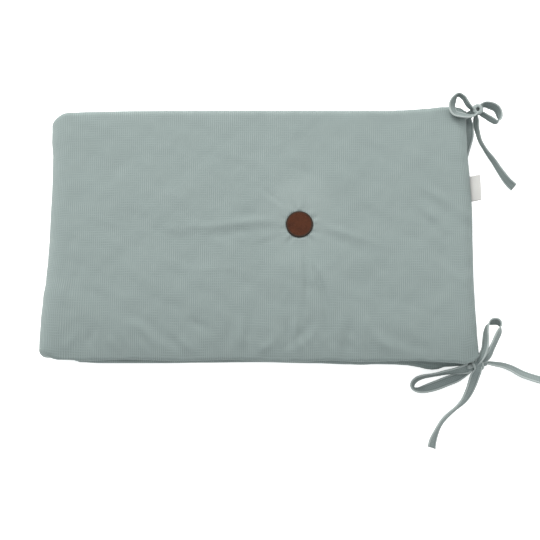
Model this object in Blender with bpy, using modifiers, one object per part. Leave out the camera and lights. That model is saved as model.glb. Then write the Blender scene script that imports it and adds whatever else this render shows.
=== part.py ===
"""A padded crib bumper, folded once in the middle and lying flat.

Its two ends meet on the right, where the ties of the upper and the lower end are knotted
into a bow at each corner. A round leather badge is pressed into the upper face, and a
folded cloth label is sewn into the upper end's seam.

X runs from the fold to the ends, Y from the front edge to the back edge, Z is up.
Single sizes are in metres. The tables are in millimetres, measured from the middle of the
folded pad, with z above the surface that the bumper lies on.
"""

import math

import bmesh
import bpy
from mathutils import Matrix, Vector

MM = 0.001
FIT = 0.0003              # air between a piece and what it is seated on

# The whole object's middle, seen from the middle of the folded pad.
OBJECT_CENTRE = (0.05445, -0.04087, 0.0)

# Pad: one filled tube of cloth, laid in two layers.
END_X = 0.2440            # the sewn ends, on the right, before they are drawn in
FOLD_X = -0.2246          # where the fold's bend starts
SEAM_LOW = 0.0110         # height of the lower layer's edge seams
SEAM_HIGH = 0.0340        # height of the upper layer's edge seams
OUTER_FILL = 0.0110       # seam to the outer cloth
INNER_FILL = 0.0105       # seam to the cloth inside the fold
CROWN = 0.0030            # extra height in the middle of the upper face
SIDE_ROUND = 0.0300       # how far in from a long edge the pad reaches its full thickness
BACK_ROUND = 0.0100       # the same, from the upper layer's back edge
FOLD_ROUND = 0.0088       # the same, round the fold
END_ROUND = 0.0150        # the same, from a sewn end
FRONT_REACH = 0.1500      # how far in from its front edge the upper face goes on rising
FRONT_CURVE = 4.6         # how soon it levels out on the way
FRONT_LIFT = 0.0022       # how much of its height it has close to that edge
FRONT_EDGE = 0.0008       # how far in it takes to gain that
FRONT_TURN = 0.4          # share of the fold's bend in which this profile dies out
CORNER_PULL = 0.0040      # how far the ties pull the two seams together at a corner
PULL_REACH = 0.0250       # how far from the corner that pull is felt
FULLNESS = 0.62           # how steeply the cloth rises from a seam
CREASE_FADE = 0.0450      # depth of the edge zone in which the face's creases die out

EDGE_CREASES = 0.35       # how much of a crease is left where it runs out at an edge

# The long edges, seen from above: the middle of each layer's front and back seam.
UPPER_EDGES = (
    # x, front y, back y
    (-225, -153.4, 146.6),
    (-196, -155.0, 147.6),
    (-148, -153.7, 148.6),
    (-92, -155.4, 149.0),
    (-31, -154.0, 149.1),
    (17, -156.0, 149.1),
    (44, -156.4, 149.1),
    (72, -155.1, 149.0),
    (114, -156.4, 148.9),
    (150, -155.8, 148.9),
    (163, -155.3, 149.6),
    (180, -155.4, 150.6),
    (194, -156.6, 151.8),
    (214, -157.0, 154.0),
    (228, -158.4, 154.8),
    (236, -155.6, 154.2),
    (244, -148.6, 150.6),
)
FOLD_EDGE = (-148.2, 142.0)   # front and back y of the seam at the bend's outermost point

# The short edges, seen from above: neither is straight.
FOLD_LINE = (
    # y, x of the bend's outermost cloth
    (-146, -249.6),
    (-128, -249.6),
    (-104, -249.0),
    (-80, -247.7),
    (-57, -245.2),
    (-32, -243.9),
    (-8, -243.2),
    (16, -243.2),
    (53, -242.8),
    (91, -243.4),
    (116, -245.6),
    (142, -246.4),
)
END_LINE = (
    # y, x of the sewn ends
    (-146, 245.4),
    (-118, 243.9),
    (-89, 243.0),
    (-57, 242.6),
    (-23, 243.1),
    (25, 244.1),
    (62, 243.0),
    (100, 241.3),
    (130, 241.2),
    (147, 242.0),
)
LOWER_EDGES = (
    # x, front y, back y
    (-225, -143.5, 145.0),
    (-216, -146.0, 146.0),
    (-205, -150.6, 147.0),
    (-180, -151.8, 148.0),
    (-110, -151.8, 148.0),
    (-68, -151.2, 148.0),
    (-3, -150.6, 148.0),
    (60, -151.9, 148.0),
    (100, -153.2, 148.0),
    (114, -153.7, 148.0),
    (129, -153.0, 148.0),
    (150, -153.3, 148.0),
    (166, -154.2, 148.0),
    (177, -156.0, 148.0),
    (184, -158.3, 148.0),
    (193, -159.4, 148.0),
    (200, -158.7, 148.0),
    (207, -156.2, 148.0),
    (231, -155.4, 147.5),
    (240, -152.8, 146.5),
    (244, -146.6, 145.0),
)

# Soft troughs (negative) and ridges in the upper face, each along a straight line.
CREASES = (
    # from x, from y, to x, to y, half width, height
    (26, 2, -35, -4, 6, -1.6),
    (-35, -4, -69, -7, 7, -1.5),
    (-69, -7, -118, -12, 8, -1.0),
    (14, 11, -62, 3, 7, 1.2),
    (60, -1, 98, -17, 6, -1.5),
    (98, -17, 142, -32, 8, -1.1),
    (70, 6, 128, -14, 8, 1.0),
    (46, -12, 53, -60, 6, -1.3),
    (53, -60, 53, -80, 7, -0.8),
    (58, -45, 77, -108, 8, -0.9),
    (30, -16, -2, -38, 6, -1.0),
    (30, 18, 3, 40, 6, -1.0),
    (50, 22, 60, 48, 6, -0.9),
    (-118, -50, -34, -55, 9, -0.8),
    (-162, -103, -134, -112, 9, 1.3),
    (-134, -112, -100, -131, 9, 1.4),
    (122, -118, 150, -139, 10, 1.5),
    (150, -139, 190, -149, 9, 1.3),
    (180, 36, 226, -6, 9, 1.4),
    (200, 50, 224, 30, 7, 1.0),
    (-218, -62, -193, -76, 9, -1.2),
    (-202, 84, -186, 72, 10, -1.0),
    (-31, -112, -31, -156, 5, -1.2),
    (-12, -114, -14, -156, 5, 1.1),
    (30, -118, 29, -156, 5, -1.0),
    (56, -112, 54, -156, 6, 1.2),
    (75, -118, 76, -156, 5, -1.1),
    (98, -122, 97, -156, 6, 0.9),
)

# Stations along and across the cloth: close together at the edges, and in millimetres there.
PAD_WIDTH = 0.3000        # the stations' scale across the pad
EDGE_STEPS = (0.0, 2.0, 6.0, 12.0, 20.0, 30.0)
LOWER_STEPS = (
    0.0, 2.0, 6.0, 12.0, 20.0, 28.0, 37.0, 46.0, 55.0, 64.0, 73.0, 84.0, 104.0, 140.0,
    180.0, 220.0, 260.0, 300.0, 340.0, 380.0, 420.0, 436.0, 448.0, 458.0)
UPPER_PITCH = 0.0122
ACROSS_PITCH = 0.0116
FOLD_STEPS = 8

# Badge and the dimple it is pressed into.
BADGE_AT = (0.0440, 0.0033)
BADGE_RADIUS = 0.0155
BADGE_THICKNESS = 0.0018
BADGE_EDGE = 0.0004
BADGE_SIDES = 40
BADGE_LEAN = 5.0          # degrees that the badge and its dimple lean towards the front
DIMPLE_HEIGHT = 0.0462    # the cloth round the badge, at the height of its middle
SEAT_HEIGHT = 0.0456      # the cloth under the middle of the badge
DIMPLE_MARGIN = 0.0020    # how far the dimple's flat floor reaches past the badge
DIMPLE_REACH = 0.0600     # where the dimple has died out
DIMPLE_CURVE = 0.8        # how steep its sides are close to the badge

# Label: woven tape folded once, its cut ends in the seam.
LABEL_THICKNESS = 0.0010
LABEL_ROUTE = (
    # x, y, z, lean, width
    (236.0, 50.8, 34.0, 0, 31),
    (242.6, 50.8, 34.4, 0, 31),
    (246.5, 50.8, 36.4, 0, 31),
    (250.0, 50.8, 38.6, 0, 31),
    (253.0, 50.8, 40.4, 0, 31),
)

# Ties: flat ribbon. A positive lean lifts the ribbon's right-hand edge, seen along its run.
TIE_THICKNESS = 0.0018
TIE_HEM = 0.0007          # how far a ribbon's edges are rounded off

# Knots: one tie's end goes round the other's, which is rolled up into a core. A wrap is
# given by its inner and outer radius and its width along the knot's axis, in metres.
TOP_KNOT = (0.2540, 0.1495, 0.0370)
TOP_AXIS = (0.0, -0.309, 0.951)
TOP_WRAP = (0.0015, 0.0064, 0.0090)
TOP_CORE = (
    # along the axis, radius
    (-13.6, 2.4),
    (-12.6, 4.4),
    (-9.8, 5.6),
    (-6.6, 5.2),
    (-4.9, 3.4),
    (-4.8, 1.2),
    (1.2, 1.1),
)
BOTTOM_KNOT = (0.2440, -0.1545, 0.0175)
BOTTOM_AXIS = (0.935, 0.354, 0.0)
BOTTOM_WRAP = (0.0049, 0.0073, 0.0120)
BOTTOM_CORE = (
    # along the axis, radius
    (-12.2, 2.2),
    (-11.2, 4.0),
    (-9.2, 4.7),
    (-7.4, 4.6),
    (-6.4, 4.5),
    (6.4, 4.5),
    (7.6, 4.6),
    (9.4, 4.7),
    (11.2, 3.9),
    (12.2, 2.0),
)

TOP_LEFT_LOOP = (
    # x, y, z, lean, width
    (252.2, 144.2, 38.0, 118, 6),
    (247.0, 140.8, 40.5, 131, 9),
    (240.0, 138.9, 43.5, 140, 11),
    (232.4, 138.8, 46.0, 140, 12),
    (225.4, 141.4, 47.0, 142, 12),
    (223.1, 150.5, 47.0, 133, 12),
    (226.0, 159.2, 46.5, 114, 12),
    (231.4, 164.6, 45.5, 88, 12),
    (237.6, 161.5, 43.5, 93, 12),
    (242.4, 154.5, 41.0, 98, 11.5),
    (248.2, 149.0, 39.0, 98, 8),
)
TOP_FREE_TAIL = (
    # x, y, z, lean, width
    (253.0, 145.8, 36.0, -76, 6),
    (252.9, 141.5, 30.0, -66, 10),
    (253.6, 136.4, 22.5, -78, 12),
    (256.0, 129.3, 14.0, -84, 12),
    (259.4, 121.2, 8.8, -89, 12),
    (265.1, 111.7, 7.2, -90, 12),
    (272.9, 99.2, 6.8, -79, 12),
    (281.2, 84.9, 6.6, -69, 12),
    (289.0, 72.9, 6.4, -58, 12),
    (297.2, 63.6, 6.2, -50, 12),
)
TOP_UPPER_LEAD = (
    # x, y, z, lean, width
    (233.0, 138.0, 32.8, 0, 7),
    (242.0, 144.5, 31.2, 0, 7),
    (247.0, 147.6, 32.6, 0, 6),
    (250.4, 149.4, 35.0, 0, 5),
)
TOP_RIGHT_LOOP = (
    # x, y, z, lean, width
    (256.5, 151.4, 26.5, -30, 6),
    (264.0, 146.3, 25.5, -66, 9),
    (270.4, 142.3, 25.5, -76, 12),
    (276.6, 138.6, 26.5, -82, 12),
    (279.9, 139.8, 27.5, -100, 12),
    (280.7, 144.0, 29.5, -117, 12),
    (279.0, 149.8, 31.5, -122, 12),
    (275.1, 154.1, 33.0, -116, 12),
    (268.6, 156.7, 33.5, -112, 12),
    (262.4, 157.9, 31.5, -108, 9),
    (256.2, 154.8, 28.6, -108, 4.5),
)
TOP_TUCKED_TAIL = (
    # x, y, z, lean, width
    (252.2, 151.0, 26.6, 8, 6.5),
    (244.8, 144.8, 24.4, 8, 7.3),
    (245.2, 134.5, 23.2, 5, 10),
    (244.2, 121.5, 22.7, 2, 12),
    (239.0, 104.0, 22.5, 0, 12),
    (234.6, 88.0, 22.5, 0, 12),
)
TOP_LOWER_LEAD = (
    # x, y, z, lean, width
    (231.5, 136.5, 12.4, 0, 7),
    (241.0, 144.0, 15.2, 0, 7),
    (246.6, 148.4, 19.6, 0, 6),
    (251.4, 151.2, 25.4, 0, 5),
)
BOTTOM_LEFT_LOOP = (
    # x, y, z, lean, width
    (236.4, -157.8, 18.4, 5, 10),
    (229.5, -159.8, 18.0, 42, 12),
    (218.0, -161.4, 15.4, 68, 12),
    (204.0, -163.0, 12.0, 84, 12),
    (193.5, -164.4, 10.0, 88, 12),
    (183.4, -166.3, 8.6, 84, 12),
    (175.6, -169.5, 7.6, 76, 12),
    (171.2, -174.6, 7.2, 66, 12),
    (172.2, -179.4, 7.0, 58, 12),
    (178.4, -181.0, 6.8, 44, 12),
    (187.0, -179.2, 6.4, 24, 12),
    (197.6, -175.6, 5.8, 8, 12),
    (209.0, -171.2, 6.0, 4, 12),
    (221.0, -167.0, 8.0, 2, 11),
    (230.0, -163.0, 11.6, 0, 8),
    (235.4, -160.2, 14.2, 0, 6),
)
BOTTOM_RIGHT_TAIL = (
    # x, y, z, lean, width
    (253.0, -152.2, 16.6, -112, 6),
    (258.5, -152.2, 14.4, -128, 8.5),
    (265.0, -152.0, 11.0, -130, 11),
    (274.0, -152.4, 8.2, -132, 12),
    (283.0, -155.6, 7.0, -138, 12),
    (294.5, -161.4, 6.0, -147, 12),
    (307.0, -165.8, 5.0, -149, 12),
    (317.5, -168.9, 4.6, -150, 12),
    (330.5, -172.2, 4.3, -151, 12),
    (345.5, -175.0, 4.1, -152, 12),
    (358.0, -176.4, 3.9, -154, 12),
)
BOTTOM_LOWER_LEAD = (
    # x, y, z, lean, width
    (232.0, -137.5, 12.4, 0, 6),
    (243.5, -141.8, 14.6, 0, 6),
    (250.5, -143.6, 15.4, 0, 5),
    (254.0, -147.0, 16.2, 0, 5),
    (253.4, -150.4, 16.8, 0, 4),
)
BOTTOM_UP_LOOP = (
    # x, y, z, lean, width
    (242.2, -155.0, 23.4, 8, 5),
    (247.0, -149.2, 26.6, 25, 8),
    (251.3, -139.5, 28.0, 56, 11.5),
    (253.2, -129.0, 28.8, 63, 12),
    (254.2, -117.0, 29.2, 74, 12),
    (256.4, -110.2, 29.2, 84, 12),
    (260.8, -107.3, 29.2, 112, 12),
    (267.2, -107.4, 29.2, 113, 12),
    (270.8, -111.6, 29.0, 93, 12),
    (269.4, -118.4, 28.6, 63, 12),
    (265.2, -127.0, 28.0, 62, 12),
    (260.3, -136.4, 27.0, 58, 11),
    (257.0, -143.8, 26.2, 48, 9),
    (253.0, -149.8, 25.0, 12, 6),
    (247.8, -153.0, 23.2, 4, 4.5),
)
BOTTOM_DOWN_TAIL = (
    # x, y, z, lean, width
    (245.0, -157.3, 23.1, -4, 7),
    (243.8, -162.6, 22.2, 0, 8.5),
    (240.9, -167.4, 17.2, 8, 11),
    (238.4, -174.4, 12.6, 24, 12),
    (234.1, -184.4, 9.0, 46, 12),
    (228.0, -193.4, 7.2, 68, 12),
    (219.0, -202.2, 6.8, 80, 12),
    (208.9, -211.2, 6.6, 78, 12),
    (201.3, -220.1, 6.3, 70, 12),
    (195.6, -230.2, 5.9, 59, 12),
    (192.4, -239.0, 5.3, 47, 12),
    (190.8, -246.6, 4.7, 38, 12),
)
BOTTOM_UPPER_LEAD = (
    # x, y, z, lean, width
    (230.0, -138.5, 32.0, 0, 6),
    (237.0, -144.6, 30.6, 0, 6),
    (241.2, -147.8, 27.4, 0, 6),
    (243.2, -149.8, 22.4, 0, 6),
)

STATION_GAP = 0.0065      # along a ribbon, between two of its sections
RING_STEPS = 20
ROUND_SIDES = 14

CLOTH_COLOUR = (0.330, 0.400, 0.376, 1.0)
BADGE_COLOUR = (0.115, 0.040, 0.022, 1.0)
LABEL_COLOUR = (0.720, 0.715, 0.690, 1.0)


# ---------------------------------------------------------------- the scene's bookkeeping

def clear_scene():
    for item in list(bpy.data.objects):
        bpy.data.objects.remove(item, do_unlink=True)


def new_collection(name):
    group = bpy.data.collections.new(name)
    bpy.context.scene.collection.children.link(group)
    return group


def new_material(name, colour, roughness):
    material = bpy.data.materials.new(name)
    material.use_nodes = True
    shader = material.node_tree.nodes["Principled BSDF"]
    shader.inputs["Base Color"].default_value = colour
    shader.inputs["Roughness"].default_value = roughness
    shader.inputs["Metallic"].default_value = 0.0
    return material


def place(mesh_maker, name, group):
    """A bmesh made an object of its own, its faces pointing out, under the object's middle."""
    bmesh.ops.recalc_face_normals(mesh_maker, faces=mesh_maker.faces)
    if mesh_maker.calc_volume(signed=True) < 0.0:
        bmesh.ops.reverse_faces(mesh_maker, faces=mesh_maker.faces)
    mesh = bpy.data.meshes.new(name)
    mesh_maker.to_mesh(mesh)
    mesh_maker.free()
    item = bpy.data.objects.new(name, mesh)
    group.objects.link(item)
    item.parent = FRAME
    return item


def finish(item, material, corner_degrees=50):
    item.data.materials.append(material)
    item.data.shade_smooth()
    item.data.set_sharp_from_angle(angle=math.radians(corner_degrees))
    return item


def hide(item):
    item.hide_render = True
    item.display_type = 'WIRE'
    return item


def boolean(item, other, operation):
    step = item.modifiers.new(other.name, 'BOOLEAN')
    step.operation = operation
    step.solver = 'EXACT'
    step.use_self = operation == 'UNION'
    step.object = other


# ---------------------------------------------------------------- small mathematics

def smooth_step(t):
    t = min(max(t, 0.0), 1.0)
    return t * t * (3.0 - 2.0 * t)


def table_at(rows, x, column):
    """A table's column at x, eased from row to row; x and the result are in metres."""
    if x <= rows[0][0] * MM:
        return rows[0][column] * MM
    for low, high in zip(rows, rows[1:]):
        if x <= high[0] * MM:
            share = smooth_step((x - low[0] * MM) / ((high[0] - low[0]) * MM))
            return (low[column] + (high[column] - low[column]) * share) * MM
    return rows[-1][column] * MM


def rise(distance, reach):
    """How much of its full thickness the pad has, this far in from a seam."""
    share = min(max(distance / reach, 0.0), 1.0)
    return (1.0 - (1.0 - share) ** 2) ** FULLNESS


def eased_route(rows, gap):
    """Points (x, y, z, lean, width) on a smooth curve through the rows, this far apart."""
    knots = [Vector(row) for row in rows]
    knots = [knots[0] * 2 - knots[1]] + knots + [knots[-1] * 2 - knots[-2]]
    route = []
    for before, start, end, after in zip(knots, knots[1:], knots[2:], knots[3:]):
        length = (end - start).to_3d().length * MM
        steps = max(2, round(length / gap))
        for step in range(steps):
            t = step / steps
            route.append(0.5 * (
                2 * start + (end - before) * t
                + (2 * before - 5 * start + 4 * end - after) * t ** 2
                + (3 * start - before - 3 * end + after) * t ** 3))
    route.append(knots[-2])
    return route


def across_and_up(axis):
    """Two directions square to an axis and to each other."""
    side = axis.cross(Vector((0.0, 1.0, 0.0))).normalized()
    return side, axis.cross(side).normalized()


# ---------------------------------------------------------------- the pad

BEND = (SEAM_HIGH - SEAM_LOW) / 2
BEND_LENGTH = math.pi * BEND
LAYER_LENGTH = END_X - FOLD_X
PAD_LENGTH = 2 * LAYER_LENGTH + BEND_LENGTH


def edge_lines(length, pitch):
    """Stations over a length that has a sewn edge at each end."""
    steps = [step * MM for step in EDGE_STEPS]
    inside = length - 2 * steps[-1]
    count = round(inside / pitch)
    middle = [steps[-1] + inside * i / count for i in range(1, count)]
    return steps + middle + [length - step for step in reversed(steps)]


def run_lines():
    """Stations from the upper sewn end, round the fold, to the lower sewn end."""
    steps = [step * MM for step in EDGE_STEPS]
    plain = LAYER_LENGTH - steps[-1]
    count = round(plain / UPPER_PITCH)
    upper = steps + [steps[-1] + plain * i / count for i in range(1, count + 1)]
    bend = [LAYER_LENGTH + BEND_LENGTH * i / FOLD_STEPS for i in range(1, FOLD_STEPS + 1)]
    return upper + bend + [PAD_LENGTH - step * MM for step in reversed(LOWER_STEPS)]


def pad_middle(run):
    """x, z and the outward direction of the pad's middle surface, and the share bent."""
    if run <= LAYER_LENGTH:
        return END_X - run, SEAM_HIGH, 0.0, 1.0, 0.0
    if run >= LAYER_LENGTH + BEND_LENGTH:
        return FOLD_X + run - LAYER_LENGTH - BEND_LENGTH, SEAM_LOW, 0.0, -1.0, 1.0
    turn = (run - LAYER_LENGTH) / BEND
    out_x = -math.sin(turn)
    out_z = math.cos(turn)
    middle = (SEAM_HIGH + SEAM_LOW) / 2
    return FOLD_X + BEND * out_x, middle + BEND * out_z, out_x, out_z, turn / math.pi


def pad_edges(x, bent):
    """The front and back seam's y, on either layer or part of the way round the fold."""
    if bent == 0.0:
        return table_at(UPPER_EDGES, x, 1), table_at(UPPER_EDGES, x, 2)
    if bent == 1.0:
        return table_at(LOWER_EDGES, x, 1), table_at(LOWER_EDGES, x, 2)
    edges = []
    for column, outermost in ((1, FOLD_EDGE[0] * MM), (2, FOLD_EDGE[1] * MM)):
        upper = UPPER_EDGES[0][column] * MM
        lower = LOWER_EDGES[0][column] * MM
        start = upper if bent < 0.5 else lower
        share = smooth_step(abs(bent - 0.5) * 2)
        edges.append(outermost + (start - outermost) * share)
    return edges


def crease_height(x, y):
    """The upper face's troughs and ridges at a point."""
    height = 0.0
    for x0, y0, x1, y1, half_width, depth in CREASES:
        start = Vector((x0, y0)) * MM
        run = Vector((x1, y1)) * MM - start
        place_on = (Vector((x, y)) - start).dot(run) / run.length_squared
        nearest = start + run * min(max(place_on, 0.0), 1.0)
        away = (Vector((x, y)) - nearest).length / (half_width * MM)
        height += depth * MM * math.exp(-away * away)
    return height


def pressed_in(x, y, z):
    """The upper face drawn down to the dimple's flat floor."""
    away = math.hypot(x - BADGE_AT[0], y - BADGE_AT[1]) - BADGE_RADIUS - DIMPLE_MARGIN
    far = max(away, 0.0) / (DIMPLE_REACH - BADGE_RADIUS)
    floor = DIMPLE_HEIGHT + (y - BADGE_AT[1]) * math.tan(math.radians(BADGE_LEAN))
    return z + (floor - z) * (1.0 - smooth_step(far ** DIMPLE_CURVE))


def side_rise(across, to_side, reach, bent, side):
    """The thickness across the pad: the upper face falls slowly towards its front edge."""
    even = rise(to_side, reach)
    if side < 0 or across > 0.5:
        return even
    lift = FRONT_LIFT / OUTER_FILL
    slow = 1.0 - (1.0 - min(to_side / FRONT_REACH, 1.0)) ** FRONT_CURVE
    slow = lift * (1.0 - math.exp(-to_side / FRONT_EDGE)) + (1.0 - lift) * slow
    return even + (slow - even) * (1.0 - smooth_step(bent / FRONT_TURN))


def pad_point(run, across, side):
    """A point of the pad's cloth. across runs 0 to 1, side is +1 outside, -1 in the fold."""
    x, z, out_x, out_z, bent = pad_middle(run)
    front, back = pad_edges(x, bent)
    y = front + (back - front) * across
    to_end = min(run, PAD_LENGTH - run)
    to_side = min(across, 1.0 - across) * (back - front)
    flatness = smooth_step(abs(bent - 0.5) * 2) if 0.0 < bent < 1.0 else 1.0
    away_from_fold = smooth_step(max(x - FOLD_X, 0.0) / SIDE_ROUND)
    widest = BACK_ROUND if across > 0.5 and bent < 0.5 else SIDE_ROUND
    reach = FOLD_ROUND + (widest - FOLD_ROUND) * flatness * away_from_fold
    full = side_rise(across, to_side, reach, bent, side) * rise(to_end, END_ROUND)

    near_end = math.exp(-((END_X - x) / END_ROUND) ** 2)
    near_fold = math.exp(-((x - FOLD_X + BEND) / SIDE_ROUND) ** 2)
    outermost = FOLD_X - BEND - OUTER_FILL
    x += (table_at(FOLD_LINE, y, 1) - outermost) * near_fold
    x += (table_at(END_LINE, y, 1) - END_X) * near_end
    pull = math.exp(-(to_end / PULL_REACH) ** 2 - (to_side / PULL_REACH) ** 2)
    z -= CORNER_PULL * pull * (1.0 if bent == 0.0 else -1.0)

    fill = OUTER_FILL if side > 0 else INNER_FILL
    x += out_x * side * fill * full
    z += out_z * side * fill * full
    if side > 0 and bent == 0.0:
        along = run / LAYER_LENGTH
        bulge = 4.0 * across * (1.0 - across) * 4.0 * along * (1.0 - along)
        fade = smooth_step(min(to_end, to_side * 2) / CREASE_FADE)
        z += CROWN * min(bulge, 1.0) + crease_height(x, y) * max(fade, EDGE_CREASES * full)
        z = pressed_in(x, y, z)
    return Vector((x, y, z))


def pad_cloth(name, group):
    """The pad's outer and inner cloth, each a grid, sewn together round its rim."""
    runs = run_lines()
    shares = [line / PAD_WIDTH for line in edge_lines(PAD_WIDTH, ACROSS_PITCH)]
    cloth = bmesh.new()
    for side in (1, -1):
        grid = bmesh.ops.create_grid(
            cloth, x_segments=len(runs) - 1, y_segments=len(shares) - 1, size=1.0)
        for vert in grid["verts"]:
            i = round((vert.co.x + 1.0) / 2.0 * (len(runs) - 1))
            j = round((vert.co.y + 1.0) / 2.0 * (len(shares) - 1))
            vert.co = pad_point(runs[i], shares[j], side)
    bmesh.ops.remove_doubles(cloth, verts=cloth.verts, dist=MM / 100)
    bmesh.ops.triangulate(cloth, faces=cloth.faces, quad_method='FIXED')
    return place(cloth, name, group)


# ---------------------------------------------------------------- ribbons and knots

def loft(rings, closed, name, group):
    """Rings of points joined one to the next, capped at both ends or joined into a hoop."""
    tube = bmesh.new()
    loops = [[tube.verts.new(point) for point in ring] for ring in rings]
    pairs = list(zip(loops, loops[1:]))
    if closed:
        pairs.append((loops[-1], loops[0]))
    for ring, following in pairs:
        for k in range(len(ring)):
            n = (k + 1) % len(ring)
            tube.faces.new((ring[k], ring[n], following[n], following[k]))
    if not closed:
        tube.faces.new(loops[0])
        tube.faces.new(loops[-1])
    return place(tube, name, group)


def ribbon_section(centre, across, face, width, thickness):
    """Six points round a flat ribbon with its edges rounded off."""
    hem = min(TIE_HEM, width / 4)
    outline = (
        (width / 2, 0.0), (width / 2 - hem, thickness / 2), (hem - width / 2, thickness / 2),
        (-width / 2, 0.0), (hem - width / 2, -thickness / 2), (width / 2 - hem, -thickness / 2))
    return [centre + across * a + face * b for a, b in outline]


def ribbon(rows, name, group, thickness=TIE_THICKNESS):
    """A ribbon along a table's route. It leans about its own run."""
    route = eased_route(rows, STATION_GAP)
    places = [Vector(point[:3]) * MM for point in route]
    rings = []
    for i, centre in enumerate(places):
        ahead = places[min(i + 1, len(places) - 1)]
        behind = places[max(i - 1, 0)]
        run = (ahead - behind).normalized()
        level = run.cross(Vector((0.0, 0.0, 1.0))).normalized()
        upright = level.cross(run)
        lean = math.radians(route[i][3])
        edge_way = level * math.cos(lean) + upright * math.sin(lean)
        face_way = run.cross(edge_way)
        width = route[i][4] * MM
        rings.append(ribbon_section(centre, edge_way, face_way, width, thickness))
    return loft(rings, False, name, group)


def wrap(centre, axis, sizes, name, group):
    """The turn of a tie that goes round the knot, as a hoop of ribbon."""
    inner, outer, width = sizes
    axis = Vector(axis).normalized()
    side, up = across_and_up(axis)
    rings = []
    for step in range(RING_STEPS):
        turn = 2.0 * math.pi * step / RING_STEPS
        out = side * math.cos(turn) + up * math.sin(turn)
        middle = Vector(centre) + out * (inner + outer) / 2
        rings.append(ribbon_section(middle, axis, out, width, outer - inner))
    return loft(rings, True, name, group)


def turned(centre, axis, profile, name, group):
    """A round piece along an axis: profile holds (distance along the axis, radius)."""
    axis = Vector(axis).normalized()
    side, up = across_and_up(axis)
    rings = []
    for along, radius in profile:
        ring = []
        for k in range(ROUND_SIDES):
            turn = 2.0 * math.pi * k / ROUND_SIDES
            out = side * math.cos(turn) + up * math.sin(turn)
            ring.append(Vector(centre) + axis * along * MM + out * radius * MM)
        rings.append(ring)
    return loft(rings, False, name, group)


def sewn_tie(body, pieces, pad_room, material):
    """One tie: its part of the knot with its ribbons fused to it, cut back to the seam."""
    for piece in pieces:
        boolean(body, hide(piece), 'UNION')
    boolean(body, pad_room, 'DIFFERENCE')
    return finish(body, material)


def top_ties(parts, cutters, pad_room, material):
    """The bow at the back corner: its wrap faces up, its core comes into it from below."""
    upper = wrap(TOP_KNOT, TOP_AXIS, TOP_WRAP, "tie_top_upper", parts)
    sewn_tie(upper, (
        ribbon(TOP_LEFT_LOOP, "top_left_loop", cutters),
        ribbon(TOP_FREE_TAIL, "top_free_tail", cutters),
        ribbon(TOP_UPPER_LEAD, "top_upper_lead", cutters)), pad_room, material)
    lower = turned(TOP_KNOT, TOP_AXIS, TOP_CORE, "tie_top_lower", parts)
    sewn_tie(lower, (
        ribbon(TOP_RIGHT_LOOP, "top_right_loop", cutters),
        ribbon(TOP_TUCKED_TAIL, "top_tucked_tail", cutters),
        ribbon(TOP_LOWER_LEAD, "top_lower_lead", cutters)), pad_room, material)


def bottom_ties(parts, cutters, pad_room, material):
    """The bow at the front corner: its wrap lies across, its core swells on both sides."""
    upper = wrap(BOTTOM_KNOT, BOTTOM_AXIS, BOTTOM_WRAP, "tie_bottom_upper", parts)
    sewn_tie(upper, (
        ribbon(BOTTOM_UP_LOOP, "bottom_up_loop", cutters),
        ribbon(BOTTOM_DOWN_TAIL, "bottom_down_tail", cutters),
        ribbon(BOTTOM_UPPER_LEAD, "bottom_upper_lead", cutters)), pad_room, material)
    lower = turned(BOTTOM_KNOT, BOTTOM_AXIS, BOTTOM_CORE, "tie_bottom_lower", parts)
    sewn_tie(lower, (
        ribbon(BOTTOM_LEFT_LOOP, "bottom_left_loop", cutters),
        ribbon(BOTTOM_RIGHT_TAIL, "bottom_right_tail", cutters),
        ribbon(BOTTOM_LOWER_LEAD, "bottom_lower_lead", cutters)), pad_room, material)


# ---------------------------------------------------------------- badge and label

def disc(radius, thickness, lift, name, group):
    """A round plate this far above the badge's seat, leaning with it."""
    plate = bmesh.new()
    bmesh.ops.create_cone(
        plate, cap_ends=True, segments=BADGE_SIDES, radius1=radius, radius2=radius,
        depth=thickness)
    seat = Matrix.Translation((BADGE_AT[0], BADGE_AT[1], SEAT_HEIGHT))
    lean = Matrix.Rotation(math.radians(BADGE_LEAN), 4, 'X')
    raised = Matrix.Translation((0.0, 0.0, lift + thickness / 2))
    plate.transform(seat @ lean @ raised)
    return place(plate, name, group)


def badge(parts, material):
    plate = disc(BADGE_RADIUS, BADGE_THICKNESS, FIT, "badge", parts)
    edge = plate.modifiers.new("edge", 'BEVEL')
    edge.width = BADGE_EDGE
    edge.segments = 2
    edge.limit_method = 'ANGLE'
    return finish(plate, material, 60)


def label(parts, pad_room, material):
    tape = ribbon(LABEL_ROUTE, "side_label", parts, thickness=LABEL_THICKNESS)
    boolean(tape, pad_room, 'DIFFERENCE')
    return finish(tape, material, 30)


# ---------------------------------------------------------------- the bumper

clear_scene()
PARTS = new_collection("crib_bumper")
CUTTERS = new_collection("cutters")
FRAME = bpy.data.objects.new("bumper_frame", None)
FRAME.location = -Vector(OBJECT_CENTRE)
PARTS.objects.link(FRAME)

CLOTH = new_material("cloth", CLOTH_COLOUR, 0.9)
RIBBON = new_material("ribbon", CLOTH_COLOUR, 0.9)
LEATHER = new_material("leather", BADGE_COLOUR, 0.55)
TAPE = new_material("tape", LABEL_COLOUR, 0.8)

pad = finish(pad_cloth("bumper_pad", PARTS), CLOTH)
seat = hide(disc(BADGE_RADIUS + FIT, BADGE_RADIUS, 0.0, "badge_seat", CUTTERS))
boolean(pad, seat, 'DIFFERENCE')

pad_room = hide(pad_cloth("pad_room", CUTTERS))
swell = pad_room.modifiers.new("swell", 'DISPLACE')
swell.mid_level = 0.0
swell.strength = FIT

badge(PARTS, LEATHER)
label(PARTS, pad_room, TAPE)
top_ties(PARTS, CUTTERS, pad_room, RIBBON)
bottom_ties(PARTS, CUTTERS, pad_room, RIBBON)
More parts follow.
